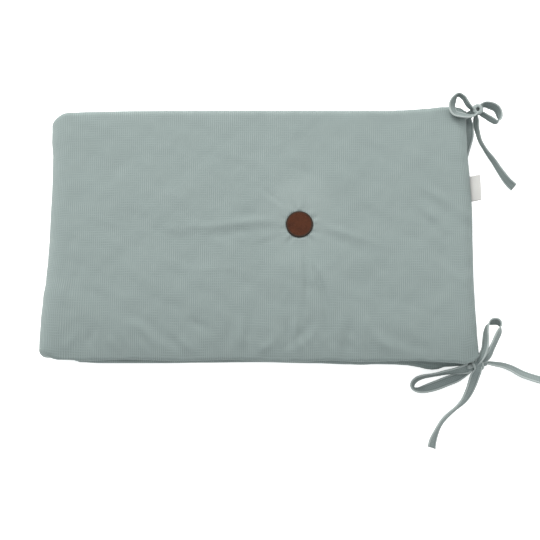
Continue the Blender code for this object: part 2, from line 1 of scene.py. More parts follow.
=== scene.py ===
"""A padded crib bumper lying folded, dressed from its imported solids.

The tables and the pad's surface are the solids' own, from the middle of the folded pad, and
are worked out here at a finer pitch with the cloth's smaller creases. Edges, rim steps, folds,
pleats, ties and label are in millimetres, all other sizes in metres.
"""

import math

import bpy
import numpy as np
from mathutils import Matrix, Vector


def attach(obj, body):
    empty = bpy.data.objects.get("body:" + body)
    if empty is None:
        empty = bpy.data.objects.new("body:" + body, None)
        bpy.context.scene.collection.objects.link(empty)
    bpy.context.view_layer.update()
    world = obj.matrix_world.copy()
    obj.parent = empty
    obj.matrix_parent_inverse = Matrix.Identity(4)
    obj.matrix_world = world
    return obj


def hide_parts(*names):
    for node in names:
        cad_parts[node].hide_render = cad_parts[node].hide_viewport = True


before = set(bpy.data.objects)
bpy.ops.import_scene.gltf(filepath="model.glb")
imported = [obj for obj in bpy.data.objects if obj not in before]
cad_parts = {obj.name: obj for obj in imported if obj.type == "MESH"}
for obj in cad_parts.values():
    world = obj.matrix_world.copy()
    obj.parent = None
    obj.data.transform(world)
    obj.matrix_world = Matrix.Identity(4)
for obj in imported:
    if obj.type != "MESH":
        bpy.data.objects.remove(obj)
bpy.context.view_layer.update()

MM = 0.001
OBJECT_CENTRE = np.array((0.05445, -0.04087, 0.0))

# ------------------------ the pad's sizes

END_X = 0.2440
FOLD_X = -0.2246
SEAM_LOW = 0.0110
SEAM_HIGH = 0.0340
OUTER_FILL = 0.0110
INNER_FILL = 0.0105
CROWN = 0.0030
SIDE_ROUND = 0.0300
BACK_ROUND = 0.0100
FOLD_ROUND = 0.0088
END_ROUND = 0.0150
FRONT_REACH = 0.1500
FRONT_LIFT = 0.0022
CORNER_PULL = 0.0040
PULL_REACH = 0.0250
FULLNESS = 0.62
CREASE_FADE = 0.0450
PAD_WIDTH = 0.3000
EDGE_STEP = 0.0008
FRONT_EASE = 4.6
FRONT_TURN = 0.4
RIM_CREASE = 0.6

# Puckers along the seams, and the narrow groove that a seam lies in.
PUCKERS = ((0.017, 3), (0.038, 5))  # wavelength, seed
PUCKER_SHARE = 0.6
PUCKER_HEIGHT = 0.0008
PUCKER_FADE = 0.0110
PUCKER_START = 0.0045
END_SEAM_SHIFT = 1.7  # puckers the ends unlike the sides
GROOVE_DEPTH = 0.0009
GROOVE_WIDTH = 0.0013
GROOVE_START = 0.0040

# The upper face's unevenness, and the rucks over its front seam.
UNEVEN = (
    # wavelength, seed, waves, height
    (0.085, 21, 9, 0.00040),
    (0.034, 22, 9, 0.00022),
    (0.015, 23, 16, 0.00010),
    (0.008, 24, 24, 0.00004),
)
RUCK_NOISE = (0.0135, 31, 14)  # wavelength, seed, waves
RUCK_SKEW = 0.35
RUCK_STRETCH = 0.4
RUCK_MIDDLE = 0.0160
RUCK_REACH = 0.0170
RUCK_HEIGHT = 0.00034

UPPER_EDGES = (
    # x, front y, back y
    (-225, -153.4, 146.6),
    (-196, -155.0, 147.6),
    (-148, -153.7, 148.6),
    (-92, -155.4, 149.0),
    (-31, -154.0, 149.1),
    (17, -156.0, 149.1),
    (44, -156.4, 149.1),
    (72, -155.1, 149.0),
    (114, -156.4, 148.9),
    (150, -155.8, 148.9),
    (163, -155.3, 149.6),
    (180, -155.4, 150.6),
    (194, -156.6, 151.8),
    (214, -157.0, 154.0),
    (228, -158.4, 154.8),
    (236, -155.6, 154.2),
    (244, -148.6, 150.6),
)
FOLD_EDGE = (-148.2, 142.0)
FOLD_LINE = (
    # y, x of the bend's outermost cloth
    (-146, -249.6),
    (-128, -249.6),
    (-104, -249.0),
    (-80, -247.7),
    (-57, -245.2),
    (-32, -243.9),
    (-8, -243.2),
    (16, -243.2),
    (53, -242.8),
    (91, -243.4),
    (116, -245.6),
    (142, -246.4),
)
END_LINE = (
    # y, x of the sewn ends
    (-146, 245.4),
    (-118, 243.9),
    (-89, 243.0),
    (-57, 242.6),
    (-23, 243.1),
    (25, 244.1),
    (62, 243.0),
    (100, 241.3),
    (130, 241.2),
    (147, 242.0),
)
LOWER_EDGES = (
    # x, front y, back y
    (-225, -143.5, 145.0),
    (-216, -146.0, 146.0),
    (-205, -150.6, 147.0),
    (-180, -151.8, 148.0),
    (-110, -151.8, 148.0),
    (-68, -151.2, 148.0),
    (-3, -150.6, 148.0),
    (60, -151.9, 148.0),
    (100, -153.2, 148.0),
    (114, -153.7, 148.0),
    (129, -153.0, 148.0),
    (150, -153.3, 148.0),
    (166, -154.2, 148.0),
    (177, -156.0, 148.0),
    (184, -158.3, 148.0),
    (193, -159.4, 148.0),
    (200, -158.7, 148.0),
    (207, -156.2, 148.0),
    (231, -155.4, 147.5),
    (240, -152.8, 146.5),
    (244, -146.6, 145.0),
)

# Soft ridges and troughs (negative) in the upper face, in millimetres.
FOLDS = (
    # (x, y) points, half width, height at the start, in the middle and at the end
    (((31, 7), (-12, 6), (-45, 1), (-81, 0), (-106, -3), (-120, -5)), 5.6, 1.7, 1.35, 0.0),
    (((31, 0), (-12, -5), (-45, -11), (-80, -12), (-110, -14)), 5.0, -0.3, -0.5, -0.0),
    (((65, 2), (95, -7), (115, -15), (136, -23), (148, -27)), 5.6, 1.7, 1.2, 0.0),
    (((65, -5), (94, -19), (115, -29), (142, -36)), 5.0, -0.4, -0.7, -0.1),
    (((-4, 49), (16, 34), (31, 22)), 2.8, -0.1, -0.9, -0.8),
    (((-6, 45), (13, 30), (28, 18)), 3.4, 0.1, 0.8, 0.7),
    (((29, -7), (13, -16), (-8, -24)), 3.0, -0.7, -0.6, -0.1),
    (((26, -1), (8, -11), (-10, -19)), 3.2, 0.5, 0.4, 0.1),
    (((46, -18), (50, -38), (52, -60), (52, -75), (50, -98)), 2.6, -1.3, -1.5, -0.4),
    (((39, -20), (43, -46), (45, -69), (43, -89)), 3.6, 0.7, 0.8, 0.2),
    (((60, -51), (67, -68), (71, -83), (75, -103), (74, -122)), 3.0, -1.1, -1.9, -0.8),
    (((67, -51), (76, -72), (81, -90), (83, -110)), 3.6, 0.7, 1.3, 0.5),
    (((56, -42), (61, -68), (65, -87)), 3.2, 0.4, 0.7, 0.3),
    (((118, -94), (133, -116), (148, -129), (166, -138), (193, -145)), 8.0, -0.4, -1.4, -0.8),
    (((106, -92), (122, -121), (136, -137), (157, -147), (188, -154)), 6.0, 0.2, 1.5, 1.1),
    (((-172, -106), (-139, -117), (-123, -130), (-103, -144)), 5.5, 0.2, 0.8, 0.6),
    (((-155, -98), (-128, -111), (-110, -125), (-92, -137)), 5.5, -0.1, -0.6, -0.5),
    (((-87, -134), (-67, -151)), 4.0, 0.5, 1.0, 0.8),
    (((-79, -111), (-54, -121)), 4.5, -0.6, -0.9, -0.3),
    (((-13, -112), (-13, -139)), 3.4, -0.6, -1.6, -0.8),
    (((-36, -117), (-35, -143)), 3.6, -0.6, -1.4, -0.7),
    (((30, -110), (31, -138)), 3.4, -0.6, -1.3, -0.6),
    (((-24, -103), (-23, -149)), 3.4, 0.3, 1.4, 0.9),
    (((40, -96), (39, -134)), 3.4, 0.2, 1.1, 0.6),
    (((20, -154), (35, -146), (48, -136), (58, -128), (65, -117), (66, -98)), 4.2, 0.5, 0.7, 0.4),
    (((23, -144), (38, -132), (52, -119), (56, -107)), 4.0, -0.4, -0.6, -0.3),
    (((-13, -154), (-1, -146), (10, -138), (20, -125)), 4.2, 0.7, 1.1, 0.4),
    (((79, -108), (78, -135)), 3.4, -0.4, -1.1, -0.7),
    (((88, -112), (88, -153)), 3.4, 0.4, 1.2, 0.8),
    (((100, -106), (101, -139)), 5.0, -0.4, -1.4, -0.8),
    (((-92, -50), (-70, -51), (-48, -51), (-32, -50)), 4.2, 0.1, 0.55, 0.2),
    (((184, 48), (209, 35), (228, 20)), 5.0, 0.3, 1.0, 0.7),
    (((190, 34), (209, 20), (229, 5)), 6.5, -0.6, -1.3, -0.9),
    (((176, 28), (196, 13), (214, -3)), 4.6, 0.3, 0.8, 0.5),
    (((180, 16), (196, 2), (208, -12)), 5.5, -0.4, -0.8, -0.5),
    (((213, 120), (220, 100), (224, 80)), 5.0, 0.4, 1.0, 0.4),
    (((206, 116), (213, 96), (217, 78)), 5.0, -0.2, -0.7, -0.3),
    (((202, -44), (230, -67)), 5.0, 0.3, 1.2, 0.9),
    (((200, -20), (210, -40)), 7.0, -0.5, -0.9, -0.5),
    (((-195, 85), (-196, 72)), 11.0, -0.8, -0.9, -0.8),
    (((-73, 123), (-66, 116)), 9.0, -0.5, -0.6, -0.5),
    (((-152, 115), (-139, 106)), 9.0, -0.4, -0.5, -0.4),
    (((-204, -49), (-212, -70)), 8.0, -0.6, -1.0, -0.8),
    (((-222, -58), (-223, -87)), 5.0, 0.4, 0.8, 0.4),
    (((134, -87), (147, -101)), 9.0, -0.4, -0.6, -0.4),
    (((-184, -117), (-196, -139)), 5.0, -0.5, -1.1, -0.7),
    (((-206, -122), (-216, -142)), 4.6, 0.4, 1.0, 0.6),
)

# Pleats where the badge draws the cloth in: they start at its rim.
BADGE_PLEATS = (
    # degrees from +X, length, half width at the rim, height
    (8, 16, 1.9, 0.7),
    (24, 14, 1.8, -0.6),
    (41, 14, 1.8, 0.5),
    (57, 16, 1.9, -0.7),
    (74, 26, 2.2, -0.8),
    (90, 18, 2.0, 0.7),
    (106, 24, 2.2, -0.8),
    (122, 16, 1.9, 0.6),
    (160, 14, 1.9, -0.6),
    (198, 16, 1.9, -0.6),
    (226, 18, 2.0, 0.7),
    (241, 20, 2.0, -0.8),
    (256, 16, 1.9, 0.5),
    (288, 18, 2.0, 0.6),
    (303, 24, 2.1, -0.8),
    (318, 16, 1.9, 0.7),
    (332, 18, 2.0, -0.8),
)

BADGE_AT = (0.0440, 0.0033)
BADGE_RADIUS = 0.0155
BADGE_AIR = 0.0003
BADGE_LEAN = math.radians(5.0)
DIMPLE_HEIGHT = 0.0462
SEAT_HEIGHT = 0.0456
DIMPLE_MARGIN = 0.0020
DIMPLE_REACH = 0.0600
DIMPLE_EASE = 0.8
SEAT_EDGE = 0.0010
LIP = 0.0005
LIP_START = 0.0003
LIP_WIDTH = 0.0013
LIP_FADE = 0.0150
PLEAT_SWAY = 0.0009
PLEAT_TURNS = 3.0
PLEAT_SPREAD = 1.4
PLEAT_EASE = 1.3
BADGE_ROW = 6  # the badge's row of UPPER_EDGES
FINE_ZONE = 0.0260

RIM_STEPS = (0.0, 0.7, 1.5, 2.4, 3.5, 4.8, 6.4, 8.2, 10.2, 12.4, 14.8, 17.4, 20.0, 22.6)
UPPER_PITCH = 0.0027
FINE_PITCH = 0.0013
LOWER_PITCH = 0.0070
ACROSS_PITCH = 0.0028
FOLD_STEPS = 18

# ------------------------ the ties' routes: rows of x, y, z, lean in degrees, width

TOP_KNOT = (254.0, 149.5, 37.0)
TOP_AXIS = (0.0, -0.309, 0.951)
BOTTOM_KNOT = (244.0, -154.5, 17.5)
BOTTOM_AXIS = (0.935, 0.354, 0.0)

TOP_LEFT_LOOP = (
    (252.2, 144.2, 38.0, 118, 6),
    (247.0, 140.8, 40.5, 131, 9),
    (240.0, 138.9, 43.5, 140, 11),
    (232.4, 138.8, 46.0, 140, 12),
    (225.4, 141.4, 47.0, 142, 12),
    (223.1, 150.5, 47.0, 133, 12),
    (226.0, 159.2, 46.5, 114, 12),
    (231.4, 164.6, 45.5, 88, 12),
    (237.6, 161.5, 43.5, 93, 12),
    (242.4, 154.5, 41.0, 98, 11.5),
    (248.2, 149.0, 39.0, 98, 8),
)
TOP_FREE_TAIL = (
    (253.0, 145.8, 36.0, -76, 6),
    (252.9, 141.5, 30.0, -66, 10),
    (253.6, 136.4, 22.5, -78, 12),
    (256.0, 129.3, 14.0, -84, 12),
    (259.4, 121.2, 8.8, -89, 12),
    (265.1, 111.7, 7.2, -90, 12),
    (272.9, 99.2, 6.8, -79, 12),
    (281.2, 84.9, 6.6, -69, 12),
    (289.0, 72.9, 6.4, -58, 12),
    (297.2, 63.6, 6.2, -50, 12),
)
TOP_UPPER_LEAD = (
    (233.0, 138.0, 32.8, 0, 7),
    (242.0, 144.5, 31.2, 0, 7),
    (247.0, 147.6, 32.6, 0, 6),
    (250.4, 149.4, 35.0, 0, 5),
)
TOP_RIGHT_LOOP = (
    (256.5, 151.4, 26.5, -30, 6),
    (264.0, 146.3, 25.5, -66, 9),
    (270.4, 142.3, 25.5, -76, 12),
    (276.6, 138.6, 26.5, -82, 12),
    (279.9, 139.8, 27.5, -100, 12),
    (280.7, 144.0, 29.5, -117, 12),
    (279.0, 149.8, 31.5, -122, 12),
    (275.1, 154.1, 33.0, -116, 12),
    (268.6, 156.7, 33.5, -112, 12),
    (262.4, 157.9, 31.5, -108, 9),
    (256.2, 154.8, 28.6, -108, 4.5),
)
TOP_TUCKED_TAIL = (
    (252.2, 151.0, 26.6, 8, 6.5),
    (244.8, 144.8, 24.4, 8, 7.3),
    (245.2, 134.5, 23.2, 5, 10),
    (244.2, 121.5, 22.7, 2, 12),
    (239.0, 104.0, 22.5, 0, 12),
    (234.6, 88.0, 22.5, 0, 12),
)
TOP_LOWER_LEAD = (
    (231.5, 136.5, 12.4, 0, 7),
    (241.0, 144.0, 15.2, 0, 7),
    (246.6, 148.4, 19.6, 0, 6),
    (251.4, 151.2, 25.4, 0, 5),
)
BOTTOM_LEFT_LOOP = (
    (236.4, -157.8, 18.4, 5, 10),
    (229.5, -159.8, 18.0, 42, 12),
    (218.0, -161.4, 15.4, 68, 12),
    (204.0, -163.0, 12.0, 84, 12),
    (193.5, -164.4, 10.0, 88, 12),
    (183.4, -166.3, 8.6, 84, 12),
    (175.6, -169.5, 7.6, 76, 12),
    (171.2, -174.6, 7.2, 66, 12),
    (172.2, -179.4, 7.0, 58, 12),
    (178.4, -181.0, 6.8, 44, 12),
    (187.0, -179.2, 6.4, 24, 12),
    (197.6, -175.6, 5.8, 8, 12),
    (209.0, -171.2, 6.0, 4, 12),
    (221.0, -167.0, 8.0, 2, 11),
    (230.0, -163.0, 11.6, 0, 8),
    (235.4, -160.2, 14.2, 0, 6),
)
BOTTOM_RIGHT_TAIL = (
    (253.0, -152.2, 16.6, -112, 6),
    (258.5, -152.2, 14.4, -128, 8.5),
    (265.0, -152.0, 11.0, -130, 11),
    (274.0, -152.4, 8.2, -132, 12),
    (283.0, -155.6, 7.0, -138, 12),
    (294.5, -161.4, 6.0, -147, 12),
    (307.0, -165.8, 5.0, -149, 12),
    (317.5, -168.9, 4.6, -150, 12),
    (330.5, -172.2, 4.3, -151, 12),
    (345.5, -175.0, 4.1, -152, 12),
    (358.0, -176.4, 3.9, -154, 12),
)
BOTTOM_LOWER_LEAD = (
    (232.0, -137.5, 12.4, 0, 6),
    (243.5, -141.8, 14.6, 0, 6),
    (250.5, -143.6, 15.4, 0, 5),
    (254.0, -147.0, 16.2, 0, 5),
    (253.4, -150.4, 16.8, 0, 4),
)
BOTTOM_UP_LOOP = (
    (242.2, -155.0, 23.4, 8, 5),
    (247.0, -149.2, 26.6, 25, 8),
    (251.3, -139.5, 28.0, 56, 11.5),
    (253.2, -129.0, 28.8, 63, 12),
    (254.2, -117.0, 29.2, 74, 12),
    (256.4, -110.2, 29.2, 84, 12),
    (260.8, -107.3, 29.2, 112, 12),
    (267.2, -107.4, 29.2, 113, 12),
    (270.8, -111.6, 29.0, 93, 12),
    (269.4, -118.4, 28.6, 63, 12),
    (265.2, -127.0, 28.0, 62, 12),
    (260.3, -136.4, 27.0, 58, 11),
    (257.0, -143.8, 26.2, 48, 9),
    (253.0, -149.8, 25.0, 12, 6),
    (247.8, -153.0, 23.2, 4, 4.5),
)
BOTTOM_DOWN_TAIL = (
    (245.0, -157.3, 23.1, -4, 7),
    (243.8, -162.6, 22.2, 0, 8.5),
    (240.9, -167.4, 17.2, 8, 11),
    (238.4, -174.4, 12.6, 24, 12),
    (234.1, -184.4, 9.0, 46, 12),
    (228.0, -193.4, 7.2, 68, 12),
    (219.0, -202.2, 6.8, 80, 12),
    (208.9, -211.2, 6.6, 78, 12),
    (201.3, -220.1, 6.3, 70, 12),
    (195.6, -230.2, 5.9, 59, 12),
    (192.4, -239.0, 5.3, 47, 12),
    (190.8, -246.6, 4.7, 38, 12),
)
BOTTOM_UPPER_LEAD = (
    (230.0, -138.5, 32.0, 0, 6),
    (237.0, -144.6, 30.6, 0, 6),
    (241.2, -147.8, 27.4, 0, 6),
    (243.2, -149.8, 22.4, 0, 6),
)
TIE_WIDTH = 12.0
TIE_THICKNESS = 1.7
TIE_GATHER = 0.85
TIE_CURL = 0.55
CURL_WAVE = 26.0
LEAN_WANDER = 3.0
WANDER_WAVE = 34.0
ROUTE_GAP = 1.6

# A knot's core: place along the axis, radius.
TOP_CORE = ((-13.6, 2.4), (-12.6, 4.4), (-9.8, 5.6), (-6.6, 5.2), (-4.9, 3.4), (-4.8, 1.2),
            (1.2, 1.1))
BOTTOM_CORE = ((-12.2, 2.2), (-11.2, 4.0), (-9.2, 4.7), (-7.4, 4.6), (-6.4, 4.5),
               (6.4, 4.5), (7.6, 4.6), (9.4, 4.7), (11.2, 3.9), (12.2, 2.0))
WRAP_RINGS, WRAP_AROUND = 64, 26
CORE_RINGS, CORE_AROUND = 30, 48
WRAP_PLEAT = 0.22
CORE_GROOVE = 0.05

LABEL_ROUTE = (
    (236.0, 50.8, 34.0, 0, 31),
    (242.6, 50.8, 34.4, 0, 31),
    (246.5, 50.8, 36.4, 0, 31),
    (250.0, 50.8, 38.6, 0, 31),
    (253.0, 50.8, 40.4, 0, 31),
)

LABEL_WIDTH = 31.0
LABEL_GAP = 0.7
LABEL_COLUMNS = 33
LABEL_PARTING = 0.42
LABEL_BOW = 0.35
LABEL_FOLD_STEPS = 8
LABEL_THICKNESS = 0.35

# ------------------------ small mathematics


def smooth_step(t):
    t = np.clip(t, 0.0, 1.0)
    return t * t * (3.0 - 2.0 * t)


def table_at(rows, x, column):
    """A table's column at every x, eased from row to row; x and the result are in metres."""
    rows = np.array(rows, float) * MM
    low = np.clip(np.searchsorted(rows[:, 0], x, side="right") - 1, 0, len(rows) - 2)
    share = smooth_step((x - rows[low, 0]) / (rows[low + 1, 0] - rows[low, 0]))
    return rows[low, column] + (rows[low + 1, column] - rows[low, column]) * share


def rise(distance, reach):
    share = np.clip(distance / reach, 0.0, 1.0)
    return (1.0 - (1.0 - share) ** 2) ** FULLNESS


def soft_noise(x, y, wavelength, seed, waves=9):
    """A smooth random height between about -1 and 1."""
    rng = np.random.default_rng(seed)
    total = np.zeros(np.broadcast(x, y).shape)
    for _ in range(waves):
        turn = rng.uniform(0.0, 2.0 * math.pi)
        length = wavelength * rng.uniform(0.7, 1.5)
        total += np.sin((x * math.cos(turn) + y * math.sin(turn)) * 2.0 * math.pi / length
                        + rng.uniform(0.0, 2.0 * math.pi))
    return total / math.sqrt(waves)


def run_lengths(places):
    """How far along a line of points each of them lies."""
    return np.concatenate(((0.0,), np.cumsum(np.linalg.norm(np.diff(places, axis=0), axis=1))))


def eased_route(rows, gap):
    """Points (x, y, z, lean, width) on a smooth curve through the rows, this far apart."""
    knots = [np.array(row, float) for row in rows]
    knots = [knots[0] * 2 - knots[1]] + knots + [knots[-1] * 2 - knots[-2]]
    route = []
    for before, start, end, after in zip(knots, knots[1:], knots[2:], knots[3:]):
        steps = max(2, round(float(np.linalg.norm((end - start)[:3])) / gap))
        for step in range(steps):
            t = step / steps
            route.append(0.5 * (
                2 * start + (end - before) * t
                + (2 * before - 5 * start + 4 * end - after) * t ** 2
                + (3 * start - before - 3 * end + after) * t ** 3))
    route.append(knots[-2])
    return np.array(route)


# ------------------------ meshes


def placed(name, data):
    item = bpy.data.objects.new(name, data)
    bpy.context.scene.collection.objects.link(item)
    return item


def new_piece(name, verts, faces, uvs=None, corner_uvs=None):
    """A mesh object in the row's frame. verts are metres from the pad's middle."""
    mesh = bpy.data.meshes.new(name)
    mesh.from_pydata((np.asarray(verts) - OBJECT_CENTRE).tolist(), [], faces)
    if uvs is not None:
        loops = np.empty(len(mesh.loops), int)
        mesh.loops.foreach_get("vertex_index", loops)
        corner_uvs = np.asarray(uvs, float)[loops]
    if corner_uvs is not None:
        mesh.uv_layers.new(name="cloth").data.foreach_set("uv", corner_uvs.ravel())
    mesh.shade_smooth()
    return placed(name, mesh)


def grid_faces(rows, columns, first=0, flip=False, closed=False):
    faces = []
    for i in range(rows - 1):
        for j in range(columns if closed else columns - 1):
            a = first + i * columns + j
            b = first + i * columns + (j + 1) % columns
            quad = (a, b, b + columns, a + columns)
            faces.append(quad[::-1] if flip else quad)
    return faces


# ------------------------ the pad

BEND = (SEAM_HIGH - SEAM_LOW) / 2
BEND_LENGTH = math.pi * BEND
LAYER_LENGTH = END_X - FOLD_X
PAD_LENGTH = 2 * LAYER_LENGTH + BEND_LENGTH


def spaced(start, stop, pitch, fine_at):
    """Stations from start to stop, closer together round fine_at."""
    stations = [start]
    while stations[-1] < stop:
        near = math.exp(-((stations[-1] - fine_at) / FINE_ZONE) ** 4)
        stations.append(stations[-1] + pitch + (FINE_PITCH - pitch) * near)
    stations = np.array(stations)
    return start + (stations - start) * (stop - start) / (stations[-1] - start)


def run_lines():
    steps = np.array(RIM_STEPS) * MM
    upper = spaced(steps[-1], LAYER_LENGTH, UPPER_PITCH, END_X - BADGE_AT[0])
    bend = LAYER_LENGTH + BEND_LENGTH * np.arange(1, FOLD_STEPS + 1) / FOLD_STEPS
    lower_count = round((LAYER_LENGTH - steps[-1]) / LOWER_PITCH)
    lower = np.linspace(LAYER_LENGTH, steps[-1], lower_count + 1)[1:-1]
    return np.concatenate((
        steps[:-1], upper, bend, PAD_LENGTH - lower, PAD_LENGTH - steps[::-1]))


def across_lines():
    steps = np.array(RIM_STEPS) * MM
    badge_share = BADGE_AT[1] - UPPER_EDGES[BADGE_ROW][1] * MM
    middle = spaced(steps[-1], PAD_WIDTH - steps[-1], ACROSS_PITCH, badge_share)
    return np.concatenate((steps[:-1], middle, PAD_WIDTH - steps[-2::-1])) / PAD_WIDTH


def pad_edges(x, bent):
    """The front and back seam's y for every station."""
    edges = []
    for column, outermost in ((1, FOLD_EDGE[0] * MM), (2, FOLD_EDGE[1] * MM)):
        upper = table_at(UPPER_EDGES, x, column)
        lower = table_at(LOWER_EDGES, x, column)
        start = np.where(bent < 0.5, UPPER_EDGES[0][column] * MM, LOWER_EDGES[0][column] * MM)
        turned = outermost + (start - outermost) * smooth_step(np.abs(bent - 0.5) * 2)
        edges.append(np.where(bent <= 0.0, upper, np.where(bent >= 1.0, lower, turned)))
    return edges


def fold_height(x, y):
    """The upper face's ridges and troughs, each fading in and out along its points."""
    height = np.zeros(x.shape)
    for points, half_width, first, middle, last in FOLDS:
        points = np.array(points, float) * MM
        starts = run_lengths(points)
        starts = starts / starts[-1]
        nearest = np.full(x.shape, np.inf)
        place_on = np.zeros(x.shape)
        for i, (start, end) in enumerate(zip(points, points[1:])):
            run = end - start
            along = np.clip(((x - start[0]) * run[0] + (y - start[1]) * run[1])
                            / run.dot(run), 0.0, 1.0)
            away = np.hypot(x - start[0] - run[0] * along, y - start[1] - run[1] * along)
            closer = away < nearest
            nearest = np.where(closer, away, nearest)
            here = starts[i] + (starts[i + 1] - starts[i]) * along
            place_on = np.where(closer, here, place_on)
        depth = np.interp(place_on, (0.0, 0.5, 1.0), (first, middle, last))
        height += depth * MM * np.exp(-(nearest / (half_width * MM)) ** 2)
    return height


def pleat_height(x, y):
    """The short pleats that run out from the badge's rim."""
    height = np.zeros(x.shape)
    off_x = x - BADGE_AT[0]
    off_y = y - BADGE_AT[1]
    for degrees, length, half_width, depth in BADGE_PLEATS:
        turn = math.radians(degrees)
        along = off_x * math.cos(turn) + off_y * math.sin(turn)
        aside = off_y * math.cos(turn) - off_x * math.sin(turn)
        out = (along - BADGE_RADIUS) / (length * MM)
        bend = PLEAT_SWAY * np.sin(out * PLEAT_TURNS + degrees)
        width = half_width * MM * (1.0 + PLEAT_SPREAD * np.clip(out, 0.0, 1.0))
        shape = smooth_step(out * 6.0 + 0.2) * (1.0 - smooth_step(out)) ** PLEAT_EASE
        height += depth * MM * shape * np.exp(-((aside - bend) / width) ** 2)
    return height


def puckered(run, share, to_side, to_end, side):
    """How far the gathers along the seams lift the cloth."""
    along_seam = np.where(to_side < to_end, run, share * PAD_WIDTH + END_SEAM_SHIFT)
    gather = sum(soft_noise(along_seam, 0.0 * run, wavelength, seed + side) * PUCKER_SHARE
                 for wavelength, seed in PUCKERS)
    seam = np.minimum(to_side, to_end)
    return PUCKER_HEIGHT * gather * np.exp(-seam / PUCKER_FADE) * smooth_step(seam / PUCKER_START)


def groove(to_seam, to_corner):
    """How far a seam lies in between the two cloths."""
    depth = GROOVE_DEPTH * np.exp(-(to_seam / GROOVE_WIDTH) ** 2)
    return depth * smooth_step(to_corner / GROOVE_START)


def unevenness(x, y, share, to_side):
    """The upper face's smaller hills, and the rucks over its front seam."""
    hills = sum(soft_noise(x, y, wavelength, seed, waves) * height
                for wavelength, seed, waves, height in UNEVEN)
    rucks = soft_noise(x + RUCK_SKEW * y, y * RUCK_STRETCH, *RUCK_NOISE)
    near_seam = np.exp(-((to_side - RUCK_MIDDLE) / RUCK_REACH) ** 2) * (share < 0.5)
    return hills + rucks * near_seam * RUCK_HEIGHT


def pressed_in(x, y, z, upper):
    """The height of the cloth with the badge's dimple, its lip and its pleats."""
    past_badge = np.hypot(x - BADGE_AT[0], y - BADGE_AT[1]) - BADGE_RADIUS
    away = np.maximum(past_badge - DIMPLE_MARGIN, 0.0) / (DIMPLE_REACH - BADGE_RADIUS)
    pressed = 1.0 - smooth_step(away ** DIMPLE_EASE)
    sunk = DIMPLE_HEIGHT + (y - BADGE_AT[1]) * math.tan(BADGE_LEAN)
    z = z + upper * (sunk - z) * pressed
    # The cloth hugs the badge's edge and stands up round it.
    lip = smooth_step((past_badge - LIP_START) / LIP_WIDTH)
    lip = lip * np.exp(-(np.maximum(past_badge - LIP_START - LIP_WIDTH, 0.0) / LIP_FADE) ** 2)
    under = smooth_step(-past_badge / SEAT_EDGE)
    return z + upper * (
        LIP * lip + pleat_height(x, y) - under * (DIMPLE_HEIGHT - SEAT_HEIGHT))


def pad_points(runs, across, side):
    """The pad's cloth as a grid of points, one side of it."""
    run = runs[:, None] + 0.0 * across[None, :]
    share = across[None, :] + 0.0 * runs[:, None]
    turn = np.clip((run - LAYER_LENGTH) / BEND, 0.0, math.pi)
    bent = turn / math.pi
    bent[run >= LAYER_LENGTH + BEND_LENGTH - 1e-9] = 1.0
    level = (bent <= 0.0) | (bent >= 1.0)
    out_x = np.where(level, 0.0, -np.sin(turn))
    out_z = np.where(bent >= 1.0, -1.0, np.cos(turn))
    x = np.where(bent <= 0.0, END_X - run, FOLD_X + BEND * out_x)
    x = np.where(bent >= 1.0, FOLD_X + run - LAYER_LENGTH - BEND_LENGTH, x)
    z = (SEAM_HIGH + SEAM_LOW) / 2 + BEND * out_z

    front, back = pad_edges(x, bent)
    y = front + (back - front) * share
    to_end = np.minimum(run, PAD_LENGTH - run)
    to_side = np.minimum(share, 1.0 - share) * (back - front)
    flatness = np.where(level, 1.0, smooth_step(np.abs(bent - 0.5) * 2))
    away_from_fold = smooth_step(np.maximum(x - FOLD_X, 0.0) / SIDE_ROUND)
    wide = np.where((share > 0.5) & (bent < 0.5), BACK_ROUND, SIDE_ROUND)
    reach = FOLD_ROUND + (wide - FOLD_ROUND) * flatness * away_from_fold
    side_rise = rise(to_side, reach)
    if side > 0:
        # The upper face falls slowly towards the front edge.
        fall = 1.0 - (1.0 - np.minimum(to_side / FRONT_REACH, 1.0)) ** FRONT_EASE
        lift = FRONT_LIFT / OUTER_FILL
        front_rise = lift * (1.0 - np.exp(-to_side / EDGE_STEP)) + (1.0 - lift) * fall
        front_part = (share < 0.5) * (1.0 - smooth_step(bent / FRONT_TURN))
        side_rise = side_rise + (front_rise - side_rise) * front_part
    full = side_rise * rise(to_end, END_ROUND)

    near_end = np.exp(-((END_X - x) / END_ROUND) ** 2)
    near_fold = np.exp(-((x - FOLD_X + BEND) / SIDE_ROUND) ** 2)
    outermost = FOLD_X - BEND - OUTER_FILL
    x = x + (table_at(FOLD_LINE, y, 1) - outermost) * near_fold
    x = x + (table_at(END_LINE, y, 1) - END_X) * near_end
    pull = np.exp(-(to_end / PULL_REACH) ** 2 - (to_side / PULL_REACH) ** 2)
    z = z - CORNER_PULL * pull * np.where(bent < 0.5, 1.0, -1.0) * level

    fill = OUTER_FILL if side > 0 else INNER_FILL
    swell = side * (fill * full + puckered(run, share, to_side, to_end, side))
    x = x + out_x * swell
    z = z + out_z * swell
    y = y + groove(to_side, to_end) * np.where(share < 0.5, 1.0, -1.0)
    x = x - groove(to_end, to_side)

    if side > 0:
        upper = np.where(bent <= 0.0, 1.0, 0.0)
        along = np.clip(run / LAYER_LENGTH, 0.0, 1.0)
        # 1 in the layer's middle, 0 at its rim.
        bulge = 16.0 * share * (1.0 - share) * along * (1.0 - along)
        fade = smooth_step(np.minimum(to_end, to_side * 2) / CREASE_FADE)
        crease = fold_height(x, y) * np.maximum(fade, RIM_CREASE * full)
        crease += unevenness(x, y, share, to_side) * fade
        z = z + upper * (CROWN * np.minimum(bulge, 1.0) + crease)
        z = pressed_in(x, y, z, upper)
    return np.stack((x, y, z), axis=-1)


